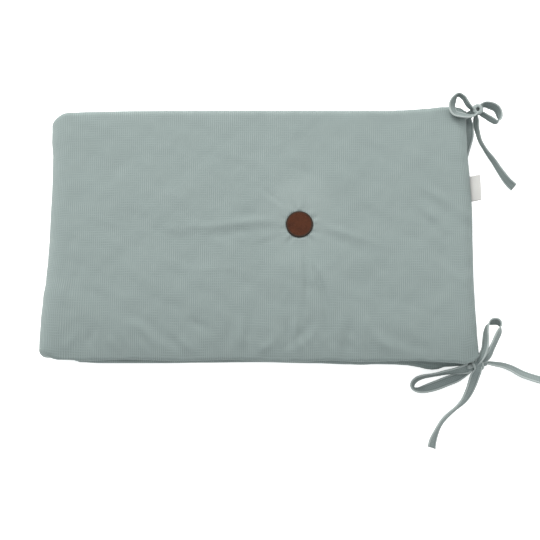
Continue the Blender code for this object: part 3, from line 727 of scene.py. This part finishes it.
def cloth_lengths(grid):
    """How far each station lies along and across the cloth, measured on its surface."""
    rows, columns = grid.shape[:2]
    along = np.linalg.norm(np.diff(grid, axis=0), axis=2)
    across = np.linalg.norm(np.diff(grid, axis=1), axis=2)
    along = np.median(along[:, columns // 4:-columns // 4], axis=1)
    across = np.median(across[rows // 8:rows // 3], axis=0)
    u = np.concatenate(((0.0,), np.cumsum(along)))
    v = np.concatenate(((0.0,), np.cumsum(across)))
    return np.stack(np.meshgrid(u, v, indexing="ij"), -1).reshape(-1, 2)


def pad():
    runs = run_lines()
    across = across_lines()
    rows, columns = len(runs), len(across)
    outer = pad_points(runs, across, 1)
    inner = pad_points(runs, across, -1)
    # The two cloths share their rim.
    index = np.arange(rows * columns).reshape(rows, columns)
    rim = np.zeros((rows, columns), bool)
    rim[0] = rim[-1] = True
    rim[:, 0] = rim[:, -1] = True
    inner_index = np.empty(rows * columns, int)
    inner_index[index[rim]] = index[rim]
    free = index[~rim]
    inner_index[free] = rows * columns + np.arange(len(free))
    verts = np.concatenate((outer.reshape(-1, 3), inner.reshape(-1, 3)[free]))
    outer_faces = grid_faces(rows, columns, flip=True)
    inner_faces = [face[::-1] for face in outer_faces]
    corner_uvs = np.concatenate((
        cloth_lengths(outer)[np.array(outer_faces).ravel()],
        cloth_lengths(inner)[np.array(inner_faces).ravel()]))
    faces = outer_faces + [tuple(inner_index[list(face)].tolist()) for face in inner_faces]
    return new_piece("pad", verts, faces, corner_uvs=corner_uvs)


# ------------------------ ribbons and knots


# Places across a tie, from -1 to 1, and how thick its hems and its middle are there.
SHARES = np.array((
    -1.0, -0.94, -0.84, -0.72, -0.55, -0.3, 0.0, 0.3, 0.55, 0.72, 0.84, 0.94, 1.0))
THICKNESSES = np.array((
    0.30, 0.90, 1.06, 0.98, 0.62, 0.56, 0.60, 0.56, 0.62, 0.98, 1.06, 0.90, 0.30))


def section(width, gather, curl):
    """Points round a folded, stitched strip: thick hems at its edges, thin in the middle."""
    half = THICKNESSES * TIE_THICKNESS / 2
    wave = gather * np.sin(SHARES * 2.6 * math.pi + curl) + curl * (np.abs(SHARES) ** 1.6 - 0.4)
    top = np.stack((SHARES * width / 2, wave + half), -1)
    low = np.stack((SHARES * width / 2, wave - half), -1)
    return np.concatenate((top, low[::-1]))


def tube_faces(rings, around, flip=False):
    """The faces of a closed tube and of its two ends."""
    faces = grid_faces(rings, around, closed=True, flip=flip)
    first = tuple(range(around))
    last = tuple(range((rings - 1) * around, rings * around))
    return faces + ([first, last[::-1]] if flip else [first[::-1], last])


def ribbon(rows, seed):
    """Verts, faces and UVs of a ribbon along a table's route, in metres."""
    route = eased_route(rows, ROUTE_GAP)
    places = route[:, :3]
    lengths = run_lengths(places)
    wander = soft_noise(lengths, 0.0, WANDER_WAVE, 100 + seed)
    curls = soft_noise(lengths, 0.0, CURL_WAVE, 200 + seed)
    flat = (SHARES + 1.0) / 2
    flat = np.concatenate((flat, flat[::-1])) * TIE_WIDTH
    verts = []
    uvs = []
    for i, centre in enumerate(places):
        run = places[min(i + 1, len(places) - 1)] - places[max(i - 1, 0)]
        run = run / np.linalg.norm(run)
        level = np.cross(run, (0.0, 0.0, 1.0))
        level = level / np.linalg.norm(level)
        upright = np.cross(level, run)
        lean = math.radians(route[i][3] + LEAN_WANDER * wander[i])
        edge_way = level * math.cos(lean) + upright * math.sin(lean)
        face_way = np.cross(run, edge_way)
        width = route[i][4]
        gather = TIE_GATHER * max(0.0, 1.0 - width / TIE_WIDTH)
        outline = section(width, gather, TIE_CURL * curls[i])
        verts.extend(
            centre + np.outer(outline[:, 0], edge_way) + np.outer(outline[:, 1], face_way))
        uvs.extend(np.stack((np.full(len(flat), lengths[i]), flat), -1))
    faces = tube_faces(len(places), len(flat), flip=True)
    return np.array(verts) * MM, faces, np.array(uvs) * MM


def across_and_up(axis):
    side = np.cross(axis, (0.0, 1.0, 0.0))
    side = side / np.linalg.norm(side)
    return side, np.cross(axis, side)


def hoop(centre, axis, inner, outer, width, pleats, seed):
    """The wrap of a knot: a turn of gathered ribbon."""
    axis = np.array(axis) / np.linalg.norm(axis)
    side, up = across_and_up(axis)
    rings, around = WRAP_RINGS, WRAP_AROUND
    verts = []
    uvs = []
    for i in range(rings):
        turn = 2.0 * math.pi * i / rings
        out = side * math.cos(turn) + up * math.sin(turn)
        half = width / 2 * (1.0 + 0.05 * math.sin(2 * turn + seed))
        for j in range(around):
            angle = 2.0 * math.pi * j / around
            a = half * np.sign(math.cos(angle)) * abs(math.cos(angle)) ** 0.55
            b = (outer - inner) / 2 * np.sign(math.sin(angle)) * abs(math.sin(angle)) ** 0.75
            if b > 0:
                pleat = math.sin(a / half * pleats * math.pi + 0.5 * math.sin(turn + seed))
                b += WRAP_PLEAT * pleat * min(1.0, b / 0.6)
            verts.append(np.array(centre) + axis * a + out * ((inner + outer) / 2 + b))
            uvs.append((turn * (inner + outer) / 2, a + TIE_WIDTH / 2))
    faces = grid_faces(rings, around, closed=True)
    last = (rings - 1) * around
    for j in range(around):
        n = (j + 1) % around
        faces.append((last + j, last + n, n, j))
    return np.array(verts) * MM, faces, np.array(uvs) * MM


def rolled(centre, axis, profile, pleats, seed):
    """The core of a knot: cloth rolled up along an axis, with lengthwise pleats."""
    axis = np.array(axis) / np.linalg.norm(axis)
    side, up = across_and_up(axis)
    profile = np.array(profile, float)
    spots = np.linspace(profile[0, 0], profile[-1, 0], CORE_RINGS)
    radii = np.interp(spots, profile[:, 0], profile[:, 1])
    verts = []
    uvs = []
    for spot, radius in zip(spots, radii):
        for k in range(CORE_AROUND):
            turn = 2.0 * math.pi * k / CORE_AROUND
            out = side * math.cos(turn) + up * math.sin(turn)
            pleat = math.sin(pleats * turn + 0.25 * spot + seed) - 1.0
            verts.append(
                np.array(centre) + axis * spot + out * radius * (1.0 + CORE_GROOVE * pleat))
            uvs.append((spot, turn * 4.0))
    faces = tube_faces(CORE_RINGS, CORE_AROUND)
    return np.array(verts) * MM, faces, np.array(uvs) * MM


def joined(name, parts):
    verts, faces, uvs, start = [], [], [], 0
    for part_verts, part_faces, part_uvs in parts:
        verts.append(part_verts)
        faces += [tuple(start + v for v in face) for face in part_faces]
        uvs.append(part_uvs)
        start += len(part_verts)
    return new_piece(name, np.concatenate(verts), faces, np.concatenate(uvs))


# ------------------------ materials


def node(tree, kind, **values):
    item = tree.nodes.new(kind)
    for key, value in values.items():
        setattr(item, key, value)
    return item


def feed(tree, slot, value):
    """Sets an input to a number or a colour, or links an output to it."""
    if isinstance(value, (int, float, tuple)):
        slot.default_value = value
    else:
        tree.links.new(value, slot)


def fed_node(tree, kind, operation, values):
    item = node(tree, kind, operation=operation)
    for slot, value in zip(item.inputs, values):
        feed(tree, slot, value)
    return item


def maths(tree, operation, *values):
    return fed_node(tree, "ShaderNodeMath", operation, values).outputs[0]


def times(tree, a, b):
    return maths(tree, "MULTIPLY", a, b)


def vector_maths(tree, operation, *values):
    return fed_node(tree, "ShaderNodeVectorMath", operation, values)


def mapped(tree, value, start, end, low, high, kind="SMOOTHSTEP"):
    """A value that goes from start to end, turned into one that goes from low to high."""
    item = node(tree, "ShaderNodeMapRange", interpolation_type=kind)
    tree.links.new(value, item.inputs["Value"])
    slots = ("From Min", "From Max", "To Min", "To Max")
    for slot, number in zip(slots, (start, end, low, high)):
        item.inputs[slot].default_value = number
    return item.outputs[0]


def mixed(tree, factor, a, b):
    item = node(tree, "ShaderNodeMix", data_type="RGBA")
    for slot, value in ((item.inputs[0], factor), (item.inputs[6], a), (item.inputs[7], b)):
        feed(tree, slot, value)
    return item.outputs[2]


def tinted(tree, colour, *tints):
    """A colour with others laid over it, each as strongly as its amount times its strength."""
    for amount, strength, tint in tints:
        colour = mixed(tree, times(tree, amount, strength), colour, tint)
    return colour


def cloth_places(tree):
    """The cloth's UV, and its places along and across, in metres."""
    uv = node(tree, "ShaderNodeUVMap", uv_map="cloth").outputs[0]
    split = node(tree, "ShaderNodeSeparateXYZ")
    tree.links.new(uv, split.inputs[0])
    return uv, split.outputs[0], split.outputs[1]


def new_material(name, roughness, sheen=0.0, sheen_roughness=0.5):
    material = bpy.data.materials.new(name)
    material.use_nodes = True
    tree = material.node_tree
    shader = tree.nodes["Principled BSDF"]
    shader.inputs["Roughness"].default_value = roughness
    shader.inputs["Sheen Weight"].default_value = sheen
    shader.inputs["Sheen Roughness"].default_value = sheen_roughness
    shader.inputs["Specular IOR Level"].default_value = 0.25
    return material, tree, shader


def ridges(tree, coordinate, pitch, sharpness):
    """1 on the crest of each rib, 0 between ribs, along a coordinate in metres."""
    wave = maths(tree, "COSINE", times(tree, coordinate, 2.0 * math.pi / pitch))
    return maths(tree, "POWER", maths(tree, "MULTIPLY_ADD", wave, 0.5, 0.5), sharpness)


def bumped(tree, shader, height, distance, strength):
    bump = node(tree, "ShaderNodeBump")
    bump.inputs["Strength"].default_value = strength
    bump.inputs["Distance"].default_value = distance
    tree.links.new(height, bump.inputs["Height"])
    tree.links.new(bump.outputs[0], shader.inputs["Normal"])


def noise(tree, vector, scale, detail):
    item = node(tree, "ShaderNodeTexNoise")
    item.inputs["Scale"].default_value = scale
    item.inputs["Detail"].default_value = detail
    tree.links.new(vector, item.inputs["Vector"])
    return item.outputs["Fac"]


def painted_light_round_badge(tree):
    """Painted light round the badge: 1 up to a distance from just behind the badge's middle,
    falling to 0 further out.
    """
    place = node(tree, "ShaderNodeTexCoord").outputs["Object"]
    flat = vector_maths(tree, "MULTIPLY_ADD", place, (1.0, 1.0, 0.0), (
        OBJECT_CENTRE[0] - BADGE_AT[0], OBJECT_CENTRE[1] - BADGE_AT[1] - PAINTED_LIGHT_BEHIND, 0.0))
    length = vector_maths(tree, "LENGTH", flat.outputs[0])
    return mapped(tree, length.outputs["Value"], PAINTED_LIGHT_NEAR, PAINTED_LIGHT_FAR, 1.0, 0.0)


# Colours are linear red, green and blue; pitches are in metres.
CELL_COLOUR = (0.170, 0.212, 0.205, 1.0)
RIB_COLOUR = (0.262, 0.312, 0.302, 1.0)
PATCH_COLOUR = (0.195, 0.228, 0.220, 1.0)
THREAD_COLOUR = (0.285, 0.330, 0.320, 1.0)
# Painted light: the lighter colour laid over the cloth round the badge.
PAINTED_LIGHT_COLOUR = (0.300, 0.348, 0.337, 1.0)
WAFFLE_RUN = 0.00234
WAFFLE_ACROSS = 0.00300
# Where the painted light round the badge is centred, and how far out it fades.
PAINTED_LIGHT_BEHIND = 0.014
PAINTED_LIGHT_NEAR, PAINTED_LIGHT_FAR = 0.014, 0.062

TIE_CELL_COLOUR = (0.150, 0.182, 0.178, 1.0)
TIE_RIB_COLOUR = (0.216, 0.256, 0.249, 1.0)
# Painted highlight: the lighter colour laid over a tie's hems.
HEM_HIGHLIGHT_COLOUR = (0.41, 0.455, 0.44, 1.0)
VALLEY_COLOUR = (0.085, 0.108, 0.105, 1.0)
TIE_THREAD_COLOUR = (0.27, 0.315, 0.305, 1.0)
STITCH_COLOUR = (0.33, 0.38, 0.37, 1.0)
TIE_RUN = 0.0019
TIE_ACROSS = 0.0020
STITCH_PITCH = 0.0028
# Distances from a tie's middle, and how sharply each line ends; the hems' line is a painted
# highlight.
STITCH_ROW, STITCH_EDGE = TIE_WIDTH * MM * 0.36, 2200.0
HEM_HIGHLIGHT_START, HEM_HIGHLIGHT_EDGE = TIE_WIDTH * MM * 0.30, 1100.0
VALLEY_ROW, VALLEY_EDGE = TIE_WIDTH * MM * 0.27, 1300.0

DARK_LEATHER = (0.038, 0.0125, 0.0060, 1.0)
LIGHT_LEATHER = (0.093, 0.0287, 0.0115, 1.0)
RIM_LEATHER = (0.034, 0.025, 0.018, 1.0)
RIM_START = BADGE_RADIUS - 0.0024
RIM_END = BADGE_RADIUS - 0.0009

TAPE_CELL_COLOUR = (0.43, 0.428, 0.411, 1.0)
TAPE_RIB_COLOUR = (0.545, 0.541, 0.521, 1.0)
TAPE_CLOUD_COLOUR = (0.43, 0.423, 0.407, 1.0)
TAPE_RUN = 0.00055
TAPE_ACROSS = 0.00075


def waffle_cloth():
    """Waffle-weave cotton: a grid of raised ribs round sunk cells, with painted light round the
    badge.
    """
    material, tree, shader = new_material("waffle_cotton", 0.92, 0.10, 0.45)
    uv, run, width = cloth_places(tree)
    along = ridges(tree, run, WAFFLE_RUN, 1.6)
    across = ridges(tree, width, WAFFLE_ACROSS, 2.2)
    # In patches of a thumb's width one set of ribs stands out from the other.
    patch = noise(tree, uv, 28.0, 3.0)
    even = mapped(tree, noise(tree, uv, 62.0, 1.5), 0.38, 0.62, 0.15, 1.0, "LINEAR")
    turned = maths(tree, "SUBTRACT", 1.15, even)
    along = times(tree, along, maths(tree, "MULTIPLY_ADD", even, 0.6, 0.4))
    across = times(tree, across, times(tree, turned, 0.62))
    grid = maths(tree, "MAXIMUM", along, across)
    thread = noise(tree, uv, 2600.0, 1.0)
    cloth = tinted(
        tree, mixed(tree, grid, CELL_COLOUR, RIB_COLOUR),
        (patch, 0.22, PATCH_COLOUR),
        (thread, 0.18, THREAD_COLOUR),
        # Painted light: the cloth is painted lighter round the badge, most just behind it.
        (painted_light_round_badge(tree), 0.27, PAINTED_LIGHT_COLOUR))
    tree.links.new(cloth, shader.inputs["Base Color"])
    bumped(tree, shader, maths(tree, "MULTIPLY_ADD", thread, 0.25, grid), 0.00035, 0.55)
    return material


def line_at(tree, to_middle, row, edge):
    """1 on a line this far from a tie's middle, falling to 0 on both sides of it."""
    off = maths(tree, "ABSOLUTE", maths(tree, "SUBTRACT", to_middle, row))
    return maths(tree, "MAXIMUM", maths(tree, "SUBTRACT", 1.0, times(tree, off, edge)), 0.0)


def ribbon_cloth():
    """The ties: the same cotton folded into a strip, with a row of stitches by each edge and a
    painted highlight on the hems.
    """
    material, tree, shader = new_material("tie_cotton", 0.90, 0.10, 0.45)
    uv, run, width = cloth_places(tree)
    grid = maths(tree, "MAXIMUM", ridges(tree, run, TIE_RUN, 1.5),
                 ridges(tree, width, TIE_ACROSS, 1.5))
    thread = noise(tree, uv, 2400.0, 1.0)
    to_middle = maths(tree, "ABSOLUTE", maths(tree, "SUBTRACT", width, TIE_WIDTH * MM / 2))
    dash = maths(tree, "FRACT", times(tree, run, 1.0 / STITCH_PITCH))
    dash = maths(tree, "GREATER_THAN", dash, 0.28)
    stitch = times(tree, line_at(tree, to_middle, STITCH_ROW, STITCH_EDGE), dash)
    # Painted highlight: the hems are painted lighter, where their folds would catch the light.
    hem_highlight = times(tree, maths(tree, "SUBTRACT", to_middle, HEM_HIGHLIGHT_START), HEM_HIGHLIGHT_EDGE)
    hem_highlight = maths(tree, "MINIMUM", maths(tree, "MAXIMUM", hem_highlight, 0.0), 1.0)
    # The hem's fold leaves a shaded line beside it.
    valley = line_at(tree, to_middle, VALLEY_ROW, VALLEY_EDGE)
    cloth = tinted(
        tree, mixed(tree, grid, TIE_CELL_COLOUR, TIE_RIB_COLOUR),
        (hem_highlight, 0.7, HEM_HIGHLIGHT_COLOUR),
        (valley, 0.5, VALLEY_COLOUR),
        (thread, 0.2, TIE_THREAD_COLOUR),
        (stitch, 0.6, STITCH_COLOUR))
    tree.links.new(cloth, shader.inputs["Base Color"])
    height = maths(tree, "MULTIPLY_ADD", thread, 0.3, times(tree, grid, 0.6))
    height = maths(tree, "ADD", height, times(tree, stitch, 1.3))
    bumped(tree, shader, height, 0.00030, 0.5)
    return material


def leather():
    """Brown leather: pores and cloudy dye, burnished darker towards the cut rim."""
    material, tree, shader = new_material("badge_leather", 0.58)
    shader.inputs["Specular IOR Level"].default_value = 0.14
    place = node(tree, "ShaderNodeTexCoord").outputs["Object"]
    centre = vector_maths(tree, "SUBTRACT", place, (
        BADGE_AT[0] - OBJECT_CENTRE[0], BADGE_AT[1] - OBJECT_CENTRE[1], 0.0))
    split = node(tree, "ShaderNodeSeparateXYZ")
    tree.links.new(centre.outputs[0], split.inputs[0])
    x, y = split.outputs[0], split.outputs[1]
    radius = maths(tree, "SQRT", maths(tree, "ADD", times(tree, x, x), times(tree, y, y)))
    cloud = noise(tree, place, 160.0, 4.0)
    grain = node(tree, "ShaderNodeTexVoronoi", feature="DISTANCE_TO_EDGE")
    grain.inputs["Scale"].default_value = 1500.0
    tree.links.new(place, grain.inputs["Vector"])
    rim = mapped(tree, maths(tree, "MULTIPLY_ADD", cloud, 0.0006, radius),
                 RIM_START, RIM_END, 0.0, 1.0)
    face = tinted(tree, mixed(tree, cloud, DARK_LEATHER, LIGHT_LEATHER), (rim, 0.9, RIM_LEATHER))
    tree.links.new(face, shader.inputs["Base Color"])
    rough = maths(tree, "MULTIPLY_ADD", rim, -0.08, 0.74)
    tree.links.new(rough, shader.inputs["Roughness"])
    pores = times(tree, grain.outputs["Distance"], 900.0)
    bumped(tree, shader, maths(tree, "MULTIPLY_ADD", cloud, 0.5, pores), 0.00012, 0.35)
    return material


def tape():
    """The label: warm white woven tape, its rows close together and its edges woven firm."""
    material, tree, shader = new_material("label_tape", 0.80, 0.05)
    uv, run, width = cloth_places(tree)
    ends = times(tree, ridges(tree, width, TAPE_ACROSS, 1.2), 0.4)
    grid = maths(tree, "MULTIPLY_ADD", ridges(tree, run, TAPE_RUN, 1.2), 0.6, ends)
    cloth = tinted(
        tree, mixed(tree, grid, TAPE_CELL_COLOUR, TAPE_RIB_COLOUR),
        (noise(tree, uv, 260.0, 3.0), 0.3, TAPE_CLOUD_COLOUR))
    tree.links.new(cloth, shader.inputs["Base Color"])
    bumped(tree, shader, grid, 0.00012, 0.5)
    return material


# ------------------------ badge and label


def badge():
    """A cut disc of leather: its rim rolls down, its face is pressed in a little."""
    # Share of the radius, height in millimetres.
    profile = (
        (0.0, 1.62), (0.35, 1.62), (0.62, 1.66), (0.80, 1.76), (0.87, 1.82), (0.92, 1.80),
        (0.962, 1.66), (0.988, 1.38), (1.0, 0.9), (0.996, 0.4), (0.98, 0.05), (0.94, 0.0),
        (0.0, 0.0))
    around = 96
    points = [(0.0, 0.0, profile[0][1] * MM)]
    for share, height in profile[1:-1]:
        for k in range(around):
            turn = 2.0 * math.pi * k / around
            uneven = 1.0 + 0.004 * math.sin(3 * turn + 1.0) + 0.003 * math.sin(7 * turn)
            radius = BADGE_RADIUS * share * (uneven if share > 0.5 else 1.0)
            points.append((radius * math.cos(turn), radius * math.sin(turn), height * MM))
    points.append((0.0, 0.0, 0.0))
    x, y, z = (np.array(points) + (0.0, 0.0, BADGE_AIR)).T
    tilt_sin, tilt_cos = math.sin(BADGE_LEAN), math.cos(BADGE_LEAN)
    verts = np.stack((
        BADGE_AT[0] + x,
        BADGE_AT[1] + y * tilt_cos - z * tilt_sin,
        SEAT_HEIGHT + y * tilt_sin + z * tilt_cos), -1)
    rings = len(profile) - 2
    faces = grid_faces(rings, around, first=1, closed=True, flip=True)
    last = 1 + (rings - 1) * around
    for k in range(around):
        n = (k + 1) % around
        faces.append((0, 1 + k, 1 + n))
        faces.append((last + around, last + n, last + k))
    return new_piece("badge_disc", verts, faces)


def label():
    """A tape folded once: two layers that part a little towards their cut ends."""
    route = eased_route(LABEL_ROUTE, LABEL_GAP)
    x, y, z = route[:, 0], LABEL_ROUTE[0][1], route[:, 2]
    shares = np.linspace(-0.5, 0.5, LABEL_COLUMNS)
    bow = LABEL_BOW * np.cos(shares * 2 * math.pi * 1.1 + 0.6)
    outward = np.linspace(0.0, 1.0, len(route))
    parting = LABEL_PARTING * (1.0 - 0.25 * outward)
    turn = math.pi * np.arange(1, LABEL_FOLD_STEPS) / LABEL_FOLD_STEPS
    fold = (x[-1] + 0.36 * np.sin(turn), z[-1] + 0.33 * np.cos(turn), np.ones(len(turn)))
    path = np.concatenate((
        np.stack((x, z + parting, outward), -1),
        np.stack(fold, -1),
        np.stack((x, z - parting, outward), -1)[::-1]))
    verts = []
    uvs = []
    for (along, height, out), distance in zip(path, run_lengths(path[:, :2])):
        for share, lift in zip(shares, bow):
            verts.append((along, y + share * LABEL_WIDTH, height + lift * out))
            uvs.append((distance, share * LABEL_WIDTH))
    faces = grid_faces(len(path), LABEL_COLUMNS)
    item = new_piece("label_tape_piece", np.array(verts) * MM, faces, np.array(uvs) * MM)
    thick = item.modifiers.new("thick", "SOLIDIFY")
    thick.thickness = LABEL_THICKNESS * MM
    thick.offset = 0.0
    return item


# ------------------------ the object

CLOTH = waffle_cloth()
RIBBON = ribbon_cloth()
LEATHER = leather()
TAPE = tape()


def dressed(piece, node_name, material):
    piece.data.materials.append(material)
    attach(piece, "root")
    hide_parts(node_name)
    return piece


pad_piece = dressed(pad(), "bumper_pad", CLOTH)
dressed(badge(), "badge", LEATHER)
label_piece = dressed(label(), "side_label", TAPE)


TIES = (
    # node, knot, strips, length of the tie inside the knot
    ("tie_top_upper", hoop(TOP_KNOT, TOP_AXIS, 1.5, 6.4, 9.0, 2.5, 1.0),
     (TOP_LEFT_LOOP, TOP_FREE_TAIL, TOP_UPPER_LEAD), 0.026),
    ("tie_top_lower", rolled(TOP_KNOT, TOP_AXIS, TOP_CORE, 7, 0.4),
     (TOP_RIGHT_LOOP, TOP_TUCKED_TAIL, TOP_LOWER_LEAD), 0.020),
    ("tie_bottom_upper", hoop(BOTTOM_KNOT, BOTTOM_AXIS, 4.9, 7.3, 12.0, 2.0, 2.2),
     (BOTTOM_UP_LOOP, BOTTOM_DOWN_TAIL, BOTTOM_UPPER_LEAD), 0.038),
    ("tie_bottom_lower", rolled(BOTTOM_KNOT, BOTTOM_AXIS, BOTTOM_CORE, 8, 1.3),
     (BOTTOM_LEFT_LOOP, BOTTOM_RIGHT_TAIL, BOTTOM_LOWER_LEAD), 0.024),
)
strip_seed = 0
for tie_name, knot, strips, in_knot in TIES:
    tie_parts = [knot]
    for strip in strips:
        strip_seed += 1
        tie_parts.append(ribbon(strip, strip_seed))
    tie = dressed(joined(tie_name + "_cloth", tie_parts), tie_name, RIBBON)

# ------------------------ floor, light and camera


WARM_WHITE = (1.0, 0.985, 0.965)
COOL_WHITE = (0.97, 0.985, 1.0, 1.0)
LIGHT_SIZE = (1.4, 0.9)
LIGHTS = (
    # name, place, power; each is aimed at the bumper
    ("key", (-0.6, 1.65, 1.15), 42.8),
    ("left", (-1.8, 0.3, 0.9), 3.2),
    ("right", (1.8, 0.3, 0.9), 12.4),
)
SKY = (
    # towards, strength there
    ((-0.15, 0.76, 0.63), 0.225),
    ((-0.8, 0.0, 0.6), 0.54),
    ((0.8, 0.0, 0.6), 0.24),
    ((0.0, 0.0, 1.0), 0.45),
)
SKY_START = -0.2
FLOOR_HALF = 6.0
FLOOR_GLOW = 0.62
CAMERA_PLACE = (0.0105, -0.6120, 1.7714)
CAMERA_TILT = math.radians(18.0)
CAMERA_LENS = 107.1
SENSOR_WIDTH = 36.0


def floor():
    mesh = bpy.data.meshes.new("floor")
    corners = ((-1, -1), (1, -1), (1, 1), (-1, 1))
    verts = [(x * FLOOR_HALF, y * FLOOR_HALF, 0.0) for x, y in corners]
    mesh.from_pydata(verts, [], [(0, 1, 2, 3)])
    item = placed("floor", mesh)
    material, _, shader = new_material("floor_paper", 0.9)
    shader.inputs["Base Color"].default_value = (0.93, 0.93, 0.93, 1.0)
    shader.inputs["Emission Color"].default_value = (1.0, 1.0, 1.0, 1.0)
    shader.inputs["Emission Strength"].default_value = FLOOR_GLOW
    mesh.materials.append(material)


def camera():
    lens = bpy.data.cameras.new("camera")
    lens.sensor_width = SENSOR_WIDTH
    lens.lens = CAMERA_LENS
    item = placed("camera", lens)
    item.location = Vector(CAMERA_PLACE) - Vector(OBJECT_CENTRE)
    item.rotation_euler = (CAMERA_TILT, 0.0, 0.0)
    bpy.context.scene.camera = item


def sky():
    """A white studio, brightest at the left and overhead, less so behind and at the right."""
    world = bpy.data.worlds.new("studio")
    world.use_nodes = True
    tree = world.node_tree
    background = tree.nodes["Background"]
    place = node(tree, "ShaderNodeTexCoord").outputs["Generated"]
    total = None
    for direction, strength in SKY:
        facing = vector_maths(tree, "DOT_PRODUCT", place, direction).outputs["Value"]
        spread = mapped(tree, facing, SKY_START, 1.0, 0.0, strength)
        total = spread if total is None else maths(tree, "ADD", total, spread)
    tree.links.new(total, background.inputs["Strength"])
    background.inputs["Color"].default_value = COOL_WHITE
    bpy.context.scene.world = world


def area_light(name, place, power):
    lamp = bpy.data.lights.new(name, "AREA")
    lamp.shape = "RECTANGLE"
    lamp.size, lamp.size_y = LIGHT_SIZE
    lamp.energy = power
    lamp.color = WARM_WHITE
    item = placed(name, lamp)
    item.location = place
    item.rotation_euler = (-Vector(place)).to_track_quat("-Z", "Y").to_euler()


floor()
camera()
sky()
for light_name, light_place, light_power in LIGHTS:
    area_light(light_name, light_place, light_power)
bpy.context.scene.view_settings.view_transform = "Standard"
